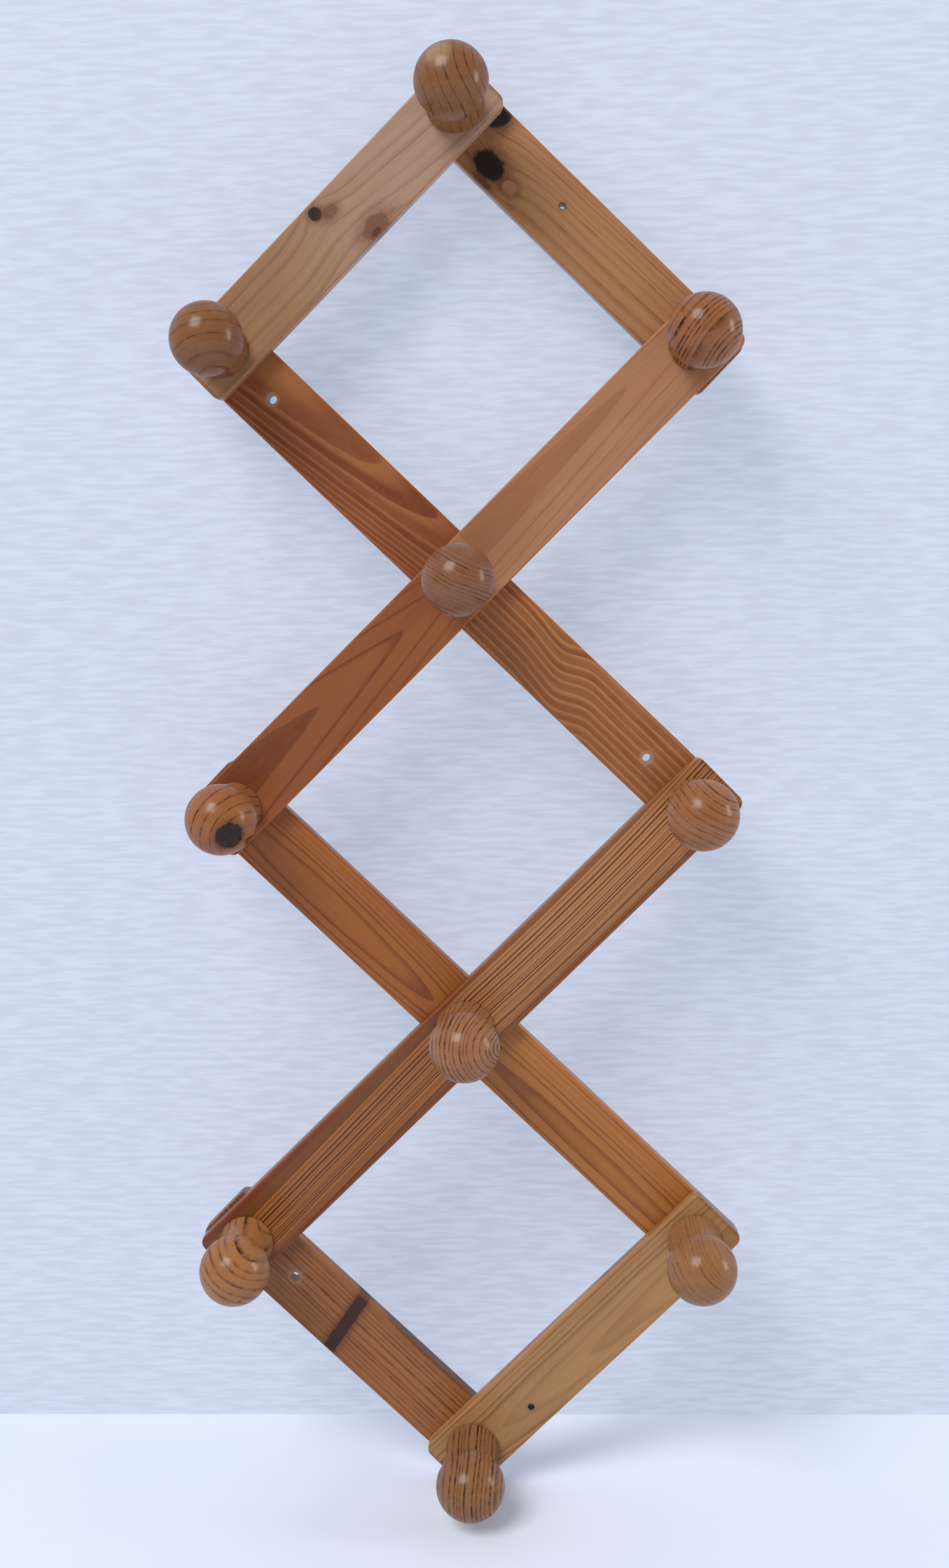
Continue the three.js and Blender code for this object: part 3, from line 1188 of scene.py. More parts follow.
def mesh_object(
    name: str, bm: bmesh.types.BMesh, smooth_below: float = SMOOTH_BELOW
) -> bpy.types.Object:
    """Puts a mesh in the scene, smooth except at sharp corners.

    Args:
        name: The object's name.
        bm: The mesh. It is freed.
        smooth_below: The angle below which an edge is smooth, in degrees.

    Returns:
        The new object.
    """
    bmesh.ops.recalc_face_normals(bm, faces=bm.faces)
    mesh = bpy.data.meshes.new(name)
    bm.to_mesh(mesh)
    bm.free()
    mesh.shade_smooth()
    mesh.set_sharp_from_angle(angle=math.radians(smooth_below))
    return place_object(name, mesh)


def loft(bm: bmesh.types.BMesh, loops: Sequence[Sequence[Vector]]) -> None:
    """Joins loops of equal length with quads and caps both ends.

    Args:
        bm: The mesh to add to.
        loops: The loops in order.
    """
    rows = [[bm.verts.new(point) for point in loop] for loop in loops]
    count = len(rows[0])
    for low, high in zip(rows, rows[1:]):
        for i in range(count):
            j = (i + 1) % count
            bm.faces.new((low[i], low[j], high[j], high[i]))
    bm.faces.new(list(reversed(rows[0])))
    bm.faces.new(rows[-1])


def turn(
    bm: bmesh.types.BMesh, profile: Ring, sides: int, centre: tuple[float, float] = (0.0, 0.0)
) -> None:
    """Turns a profile of (radius, y) about the Y axis into a closed solid.

    Args:
        bm: The mesh to add to.
        profile: The profile. Its first and last points may lie on the axis.
        sides: Sides round the axis.
        centre: The axis's x and z.
    """
    rows: list[list[bmesh.types.BMVert]] = []
    mid_x, mid_z = centre
    for radius, y in profile:
        if radius < TINY:
            rows.append([bm.verts.new((mid_x, y, mid_z))])
            continue
        row = []
        for i in range(sides):
            angle = 2.0 * math.pi * i / sides
            x, z = mid_x + radius * math.cos(angle), mid_z + radius * math.sin(angle)
            row.append(bm.verts.new((x, y, z)))
        rows.append(row)
    for low, high in zip(rows, rows[1:]):
        for i in range(sides):
            j = (i + 1) % sides
            if len(low) == 1:
                bm.faces.new((low[0], high[j], high[i]))
            elif len(high) == 1:
                bm.faces.new((low[i], low[j], high[0]))
            else:
                bm.faces.new((low[i], low[j], high[j], high[i]))


def carve(blank: bpy.types.Object, cutter: bpy.types.Object) -> None:
    """Cuts one solid out of another and removes the cutter.

    Args:
        blank: The solid that is cut.
        cutter: What is taken away.
    """
    cut = blank.modifiers.new("cut", "BOOLEAN")
    cut.operation = "DIFFERENCE"
    cut.solver = "EXACT"
    cut.object = cutter
    bpy.context.view_layer.update()
    graph = bpy.context.evaluated_depsgraph_get()
    mesh = bpy.data.meshes.new_from_object(blank.evaluated_get(graph))
    blank.modifiers.clear()
    blank.data = mesh
    bpy.data.objects.remove(cutter)
    mesh.shade_smooth()
    mesh.set_sharp_from_angle(angle=math.radians(SMOOTH_BELOW))


# --------------------------------------------------------------------------
# The lattice
# --------------------------------------------------------------------------


@dataclass(frozen=True)
class Lattice:
    """Where the pivots are, in metres, in the frame of the CAD model.

    seat is the clearance between pieces that rest on each other.
    """

    pitch: float = mm(187.0)
    rest_angle: float = math.radians(44.3)
    centre_z: float = mm(-149.376)
    slat_width: float = mm(40.0)
    slat_thickness: float = mm(10.0)
    counterbore_depth: float = mm(4.8)
    seat: float = mm(0.3)

    # Half diamonds across and up from the middle.
    PIVOTS = {
        "top": (0, 3),
        "left_1": (-1, 2), "right_1": (1, 2),
        "centre_1": (0, 1),
        "left_2": (-1, 0), "right_2": (1, 0),
        "centre_2": (0, -1),
        "left_3": (-1, -2), "right_3": (1, -2),
        "bottom": (0, -3),
    }

    def pivot(self, name: str) -> tuple[float, float]:
        """The x and z of a pivot.

        Args:
            name: The pivot's name.

        Returns:
            Its x and z.
        """
        across, up = self.PIVOTS[name]
        half_width = self.pitch * math.cos(self.rest_angle)
        half_height = self.pitch * math.sin(self.rest_angle)
        return across * half_width, self.centre_z + up * half_height

    def face(self, layer: Layer) -> float:
        """The y of a layer's front face.

        Args:
            layer: The layer.

        Returns:
            The y.
        """
        if layer is Layer.REAR:
            return -self.slat_thickness
        return -2.0 * self.slat_thickness - self.seat

    def slope(self, layer: Layer) -> float:
        """The slope of a layer's slats, in radians."""
        return self.rest_angle if layer is Layer.FRONT else -self.rest_angle

    def pose(self, layer: Layer, left: str) -> Matrix:
        """The place of a slat: x along it, y to the wall and z to its upper edge.

        Args:
            layer: The slat's layer.
            left: The pivot at its left end.

        Returns:
            The slat's matrix.
        """
        angle = self.slope(layer)
        x, z = self.pivot(left)
        along = Vector((math.cos(angle), 0.0, math.sin(angle)))
        upward = Vector((-math.sin(angle), 0.0, math.cos(angle)))
        pose = Matrix((along, Vector((0.0, 1.0, 0.0)), upward)).transposed().to_4x4()
        pose.translation = Vector((x, self.face(layer), z))
        return pose


@dataclass(frozen=True)
class SlatSeat:
    """Where a slat lies: its left pivot, slope, pivot length, overhang and half width."""

    origin: tuple[float, float, float]
    angle: float
    length: float
    overhang: float
    half_width: float


@dataclass(frozen=True)
class Hole:
    """A small hole through a slat, with lengths in millimetres."""

    along: float
    up: float
    radius: float
    flare: float = 0.5


@dataclass
class Slat:
    """One flat slat with rounded corners, eased edges and its holes.

    pitches is how many pivot pitches long it is, and left its first pivot.
    overhang is how far it goes on past its end pivots, bore and counterbore are
    radii, and lip is the chamfer of a counterbore.
    """

    name: str
    body: str
    layer: Layer
    pitches: int
    left: str
    slot: Slot
    pine: Pine
    holes: tuple[Hole, ...] = ()
    overhang: float = mm(21.5)
    corner: float = mm(5.65)
    ease: float = mm(1.1)
    bore: float = mm(6.3)
    counterbore: float = mm(9.6)
    lip: float = mm(0.5)
    cutter_past: float = mm(1.0)
    corner_steps: int = 12
    ease_steps: int = 4
    bore_sides: int = 64
    hole_sides: int = 40

    def outline(self, lattice: Lattice, inset: float, y: float) -> list[Vector]:
        """The slat's outline, drawn in by an inset, at one depth.

        Args:
            lattice: The lattice's sizes.
            inset: How far the outline is drawn in.
            y: The depth.

        Returns:
            The points of the outline.
        """
        length = self.pitches * lattice.pitch
        half = lattice.slat_width / 2.0 - self.corner
        radius = self.corner - inset
        low = -self.overhang + self.corner
        high = length + self.overhang - self.corner
        points = []
        for quarter, (x, z) in enumerate(((high, half), (low, half), (low, -half), (high, -half))):
            for step in range(self.corner_steps + 1):
                angle = (quarter + step / self.corner_steps) * math.pi / 2.0
                points.append(Vector((x + radius * math.cos(angle), y, z + radius * math.sin(angle))))
        return points

    def blank(self, lattice: Lattice) -> bpy.types.Object:
        """The slat before its holes are cut.

        Args:
            lattice: The lattice's sizes.

        Returns:
            The blank.
        """
        thick = lattice.slat_thickness
        front, back = [], []
        for step in range(self.ease_steps + 1):
            angle = step / self.ease_steps * math.pi / 2.0
            inset = self.ease * (1.0 - math.sin(angle))
            depth = self.ease * (1.0 - math.cos(angle))
            front.append(self.outline(lattice, inset, depth))
            back.append(self.outline(lattice, inset, thick - depth))
        bm = bmesh.new()
        loft(bm, front + back[::-1])
        return mesh_object(self.name + "_pine", bm)

    def cutter(self, lattice: Lattice) -> bpy.types.Object:
        """All the slat's holes as one solid.

        Args:
            lattice: The lattice's sizes.

        Returns:
            The cutter.
        """
        thick = lattice.slat_thickness
        past = self.cutter_past
        bm = bmesh.new()
        for i in range(self.pitches + 1):
            profile: Ring = [(0.0, -past), (self.bore, -past)]
            if self.layer is Layer.REAR:
                floor = thick - lattice.counterbore_depth
                rim = self.counterbore + self.lip
                profile += [(self.bore, floor), (self.counterbore, floor)]
                profile += [(self.counterbore, thick - self.lip), (rim, thick)]
                profile += [(rim, thick + past), (0.0, thick + past)]
            else:
                profile += [(self.bore, thick + past), (0.0, thick + past)]
            turn(bm, profile, self.bore_sides, (i * lattice.pitch, 0.0))
        for hole in self.holes:
            radius, flare = mm(hole.radius), mm(hole.flare)
            wide = radius + flare
            profile = [(0.0, -past), (wide, -past), (wide, 0.0), (radius, flare)]
            profile += [(radius, thick - flare), (wide, thick)]
            profile += [(wide, thick + past), (0.0, thick + past)]
            turn(bm, profile, self.hole_sides, (mm(hole.along), mm(hole.up)))
        return mesh_object("cutter", bm)

    def build(self, lattice: Lattice, painter: WoodPainter) -> bpy.types.Object:
        """Builds, dresses and places the slat.

        Args:
            lattice: The lattice's sizes.
            painter: Makes the wood.

        Returns:
            The finished slat.
        """
        made = self.blank(lattice)
        carve(made, self.cutter(lattice))
        soften = made.modifiers.new("flat_faces", "WEIGHTED_NORMAL")
        soften.keep_sharp = True
        length = self.pitches * lattice.pitch
        half = lattice.slat_width / 2.0
        pose = lattice.pose(self.layer, self.left)
        angle = lattice.slope(self.layer)
        seat = SlatSeat(tuple(pose.translation), angle, length, self.overhang, half)
        made.data.materials.append(painter.slat(self.name + "_wood", self.pine, seat))
        made.data.transform(pose)
        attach(made, self.body)
        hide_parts(self.name)
        return made


@dataclass
class Peg:
    """A turned ball peg with its tenon.

    turn and lean set its grain, in degrees. base, ball, waist, tenon and pilot
    are radii, standoff is how far the ball's centre stands off its foot, and
    fillet is how far the neck swells where it meets the ball.
    """

    pivot: str
    body: str
    pine: Pine
    turn: float = 0.0
    lean: float = 0.0
    knots: tuple[PegPatch, ...] = ()
    base: float = mm(16.0)
    ball: float = mm(20.0)
    standoff: float = mm(43.0)
    waist: float = mm(14.2)
    fillet: float = mm(0.5)
    base_thickness: float = mm(3.5)
    base_rise: float = mm(0.4)
    tenon: float = mm(6.0)
    tenon_chamfer: float = mm(0.3)
    pilot: float = mm(2.3)
    pilot_depth: float = mm(16.3)
    sides: int = 96
    smooth_below: float = 40.0
    ball_steps: int = 30
    neck_steps: int = 14

    # The share of the neck that the fillet takes.
    FILLET_SHARE = 0.18
    # The base's rounded rim, in millimetres in from its radius and off its foot.
    BASE_RIM = ((0.1, 2.6), (0.0, 1.8), (0.0, 1.1), (0.25, 0.5), (0.7, 0.15), (1.3, 0.0))

    def profile(self, lattice: Lattice) -> Ring:
        """The peg's outline from its front, as (radius, y).

        Args:
            lattice: The lattice's sizes.

        Returns:
            The profile.
        """
        foot = lattice.face(Layer.FRONT) - lattice.seat
        centre = foot - self.standoff
        tail = -lattice.counterbore_depth
        join = math.pi - math.asin((self.waist + self.fillet) / self.ball)
        points: Ring = [(0.0, centre - self.ball)]
        for i in range(1, self.ball_steps + 1):
            angle = join * i / self.ball_steps
            points.append((self.ball * math.sin(angle), centre - self.ball * math.cos(angle)))
        top = centre - self.ball * math.cos(join)
        shoulder = foot - self.base_thickness
        for i in range(1, self.neck_steps + 1):
            share = i / self.neck_steps
            dip = self.fillet * (1.0 - min(1.0, share / self.FILLET_SHARE)) ** 2
            swell = (self.base - self.base_rise - self.waist) * share**4
            points.append((self.waist + dip + swell, top + (shoulder - top) * share))
        for inward, off in self.BASE_RIM:
            points.append((self.base - mm(inward), foot - mm(off)))
        chamfer = self.tenon_chamfer
        floor = tail - self.pilot_depth
        points += [(self.tenon, foot), (self.tenon, tail - chamfer), (self.tenon - chamfer, tail)]
        points += [(self.pilot, tail), (self.pilot, floor), (0.0, floor)]
        return points

    def build(self, lattice: Lattice, painter: WoodPainter) -> bpy.types.Object:
        """Builds, dresses and places the peg.

        Args:
            lattice: The lattice's sizes.
            painter: Makes the wood.

        Returns:
            The finished peg.
        """
        bm = bmesh.new()
        turn(bm, self.profile(lattice), self.sides)
        made = mesh_object(f"peg_{self.pivot}_pine", bm, self.smooth_below)
        wood = painter.peg(f"peg_{self.pivot}_wood", self.pine, self.turn, self.lean, self.knots)
        made.data.materials.append(wood)
        x, z = lattice.pivot(self.pivot)
        made.location = (x, 0.0, z)
        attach(made, self.body)
        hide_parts(f"peg_{self.pivot}")
        return made


@dataclass
class Fastening:
    """The washer and round-head screw behind a pivot.

    washer_hole, shank and head are radii, and bite is how far the screw goes
    into the tenon.
    """

    pivot: str
    body: str
    washer_radius: float = mm(8.0)
    washer_hole: float = mm(2.5)
    washer_thickness: float = mm(1.0)
    soft: float = mm(0.2)
    shank: float = mm(2.0)
    bite: float = mm(16.0)
    head: float = mm(4.0)
    head_height: float = mm(2.2)
    head_rim: float = mm(0.5)
    head_steps: int = 10
    thread_pitch: float = mm(1.4)
    washer_sides: int = 64
    screw_sides: int = 48
    washer_smooth_below: float = 50.0
    screw_smooth_below: float = 40.0

    # The thread's core as a share of the shank, and the point's width as a
    # share of the core.
    CORE_SHARE = 0.72
    POINT_SHARE = 0.5
    # How far from the tip the point, the core and the first turn start.
    POINT_STARTS = (mm(2.2), mm(4.0), mm(4.4))
    # How far into each turn its crest and the core after it come.
    CREST, AFTER_CREST = mm(0.45), mm(0.9)
    # The smooth end of the thread, and where the smooth shank starts.
    THREAD_ENDS, SHANK_STARTS = mm(2.6), mm(1.0)
    # The cross recess: its arms, half its web, and its depth as (y, share of
    # its size) from the top of the head.
    ARM, WEB = mm(2.0), mm(0.42)
    RECESS = ((mm(-1.5), 0.45), (mm(0.5), 1.1))
    LEAST_HEIGHT = 0.7

    def washer(self, lattice: Lattice) -> bpy.types.Object:
        """A pressed washer with softened rims.

        Args:
            lattice: The lattice's sizes.

        Returns:
            The washer.
        """
        front = -lattice.counterbore_depth + lattice.seat
        back = front + self.washer_thickness
        outer, inner, soft = self.washer_radius, self.washer_hole, self.soft
        ring = [
            (inner, front + soft), (inner + soft, front),
            (outer - soft, front), (outer, front + soft),
            (outer, back - soft), (outer - soft, back),
            (inner + soft, back), (inner, back - soft),
        ]
        bm = bmesh.new()
        turn(bm, ring + ring[:1], self.washer_sides)
        bmesh.ops.remove_doubles(bm, verts=bm.verts, dist=TINY)
        return mesh_object(f"washer_{self.pivot}_steel", bm, self.washer_smooth_below)

    def screw(self, lattice: Lattice) -> bpy.types.Object:
        """A wood screw with a thread, a domed head and a cross recess.

        Args:
            lattice: The lattice's sizes.

        Returns:
            The screw.
        """
        floor = -lattice.counterbore_depth
        tip = floor - self.bite
        under = floor + 2.0 * lattice.seat + self.washer_thickness
        top = under + self.head_height
        core = self.shank * self.CORE_SHARE
        point, full, first = self.POINT_STARTS
        profile: Ring = [(0.0, tip), (core * self.POINT_SHARE, tip + point), (core, tip + full)]
        y = tip + first
        while y < floor - self.THREAD_ENDS:
            profile += [(self.shank, y + self.CREST), (core, y + self.AFTER_CREST)]
            y += self.thread_pitch
            profile.append((core, y))
        profile += [(self.shank, floor - self.SHANK_STARTS), (self.shank, under)]
        profile += [(self.head - self.soft, under), (self.head, under + self.soft)]
        profile.append((self.head, under + self.head_rim))
        for step in range(1, self.head_steps):
            angle = step / self.head_steps * math.pi / 2.0
            rise = (self.head_height - self.head_rim) * math.sin(angle)
            profile.append((self.head * math.cos(angle), under + self.head_rim + rise))
        profile.append((0.0, top))
        bm = bmesh.new()
        turn(bm, profile, self.screw_sides)
        made = mesh_object(f"screw_{self.pivot}_steel", bm, self.screw_smooth_below)
        carve(made, self.recess(top))
        return made

    def recess(self, top: float) -> bpy.types.Object:
        """The cross recess of the head, as a cutter.

        Args:
            top: The y of the head's top.

        Returns:
            The cutter.
        """
        bm = bmesh.new()
        arm, web = self.ARM, self.WEB
        cross = [
            (arm, web), (web, web), (web, arm), (-web, arm), (-web, web), (-arm, web),
            (-arm, -web), (-web, -web), (-web, -arm), (web, -arm), (web, -web), (arm, -web),
        ]
        loops = []
        for rise, share in self.RECESS:
            high = max(share, self.LEAST_HEIGHT)
            loops.append([Vector((x * share, top + rise, z * high)) for x, z in cross])
        loft(bm, loops)
        return mesh_object("recess", bm)

    def build(self, lattice: Lattice, steel: bpy.types.Material) -> list[bpy.types.Object]:
        """Builds, dresses and places the washer and the screw.

        Args:
            lattice: The lattice's sizes.
            steel: Their finish.

        Returns:
            Both pieces.
        """
        x, z = lattice.pivot(self.pivot)
        made = [self.washer(lattice), self.screw(lattice)]
        for piece, node in zip(made, (f"washer_{self.pivot}", f"screw_{self.pivot}")):
            piece.data.materials.append(steel)
            piece.location = (x, 0.0, z)
            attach(piece, self.body)
            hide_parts(node)
        return made


# --------------------------------------------------------------------------
# The studio
# --------------------------------------------------------------------------


@dataclass(frozen=True)
class Lamp:
    """A soft rectangular light that looks at the middle of the rack.

    toward is its direction from there, size its width and height in metres and
    power its power in watts.
    """

    name: str
    toward: tuple[float, float, float]
    distance: float
    size: tuple[float, float]
    power: float
    shade: tuple[float, float, float]

    def hang(self, centre: Vector) -> None:
        """Adds the light, looking at a point.

        Args:
            centre: The point.
        """
        data = bpy.data.lights.new(self.name, "AREA")
        data.shape = "RECTANGLE"
        data.size, data.size_y = self.size
        data.energy = self.power
        data.color = self.shade
        made = place_object(self.name, data)
        made.location = centre + Vector(self.toward).normalized() * self.distance
        made.rotation_mode = "QUATERNION"
        made.rotation_quaternion = (centre - made.location).to_track_quat("-Z", "Y")


@dataclass
class Studio:
    """Pale wall and table, soft daylight and the camera.

    The wall's foot is wall_foot behind the rack's back and the wall leans
    forward by wall_lean. sky is the strength of the room's light from the wall
    and the ceiling, and room that from the front and the floor.
    """

    wall_foot: float = 0.074
    wall_lean: float = math.radians(4.3)
    wide: float = 4.0
    deep: float = 4.0
    high: float = 3.0
    sky: float = 0.70
    room: float = 0.22

    TABLE = StudioPaint((224, 230, 244), 0.10)
    WALL = StudioPaint((152, 153, 162), 0.50, open_back=True, ribs=0.08)
    LAMPS = (
        Lamp("window", (-0.376, -0.606, 0.70), 5.2, (2.5, 2.5), 197.0, (0.99, 0.985, 0.97)),
        Lamp("side_window", (0.97, -0.10, 0.19), 4.0, (1.0, 1.6), 46.0, (1.0, 0.96, 0.90)),
    )
    ROOM_TINT = (0.95, 0.97, 1.0, 1.0)
    # Where the room's light starts and is full, towards the wall and towards
    # the ceiling, and the share of it that comes from below.
    WALL_RANGE = (-0.7, 0.8)
    TOP_RANGE = (-0.6, 0.7)
    FROM_BELOW = 0.4

    # The camera: its sensor and lens in millimetres, the nearest thing it sees,
    # where it is, and its tilt, roll and turn in degrees.
    SENSOR, LENS = 36.0, 38.57
    NEAREST = 0.05
    EYE = (0.0331, -0.985, -0.0233)
    LOOK = (83.35, 0.731, 1.501)

    def panel(self, name: str, corners: Sequence[Vector], paint: StudioPaint) -> None:
        """Adds a flat panel of the stage from its four corners.

        Args:
            name: The panel's name.
            corners: Its corners in order.
            paint: Its paint.
        """
        bm = bmesh.new()
        bm.faces.new([bm.verts.new(corner) for corner in corners])
        mesh = bpy.data.meshes.new(name)
        bm.to_mesh(mesh)
        bm.free()
        made = place_object(name, mesh)
        made.data.materials.append(paint.make(name + "_paint"))
        made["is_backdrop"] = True

    def stage(self, floor: float) -> None:
        """Makes the table top and the wall behind it.

        Args:
            floor: The height of the table top.
        """
        wide, deep = self.wide, self.deep
        top = floor + self.high
        top_y = self.wall_foot - self.high * math.tan(self.wall_lean)
        corners = [(-wide, -deep), (wide, -deep), (wide, deep), (-wide, deep)]
        self.panel("table_top", [Vector((x, y, floor)) for x, y in corners], self.TABLE)
        foot = [Vector((x, self.wall_foot, floor)) for x in (-wide, wide)]
        head = [Vector((x, top_y, top)) for x in (wide, -wide)]
        self.panel("studio_wall", foot + head, self.WALL)

    def light(self, centre: Vector) -> None:
        """Window light from the upper left, a dim window on the right and fill.

        Args:
            centre: The middle of the rack.
        """
        for lamp in self.LAMPS:
            lamp.hang(centre)
        world = bpy.data.worlds.new("room")
        bpy.context.scene.world = world
        world.use_nodes = True
        g = Graph(world.node_tree)
        _, y, z = g.split(g.node("TexCoord").outputs["Generated"])
        from_wall = g.smooth(y, *self.WALL_RANGE)
        from_top = g.between(g.smooth(z, *self.TOP_RANGE), self.FROM_BELOW, 1.0)
        bright = g.math("MULTIPLY", from_wall, from_top)
        shade = world.node_tree.nodes["Background"]
        shade.inputs["Color"].default_value = self.ROOM_TINT
        g.feed(shade.inputs["Strength"], g.between(bright, self.room, self.sky))

    def camera(self) -> None:
        """A camera square to the rack, a little above its middle."""
        data = bpy.data.cameras.new("camera")
        data.sensor_width = self.SENSOR
        data.lens = self.LENS
        data.clip_start = self.NEAREST
        made = place_object("camera", data)
        made.location = self.EYE
        made.rotation_euler = [math.radians(angle) for angle in self.LOOK]
        bpy.context.scene.camera = made


# --------------------------------------------------------------------------
# The rack
# --------------------------------------------------------------------------


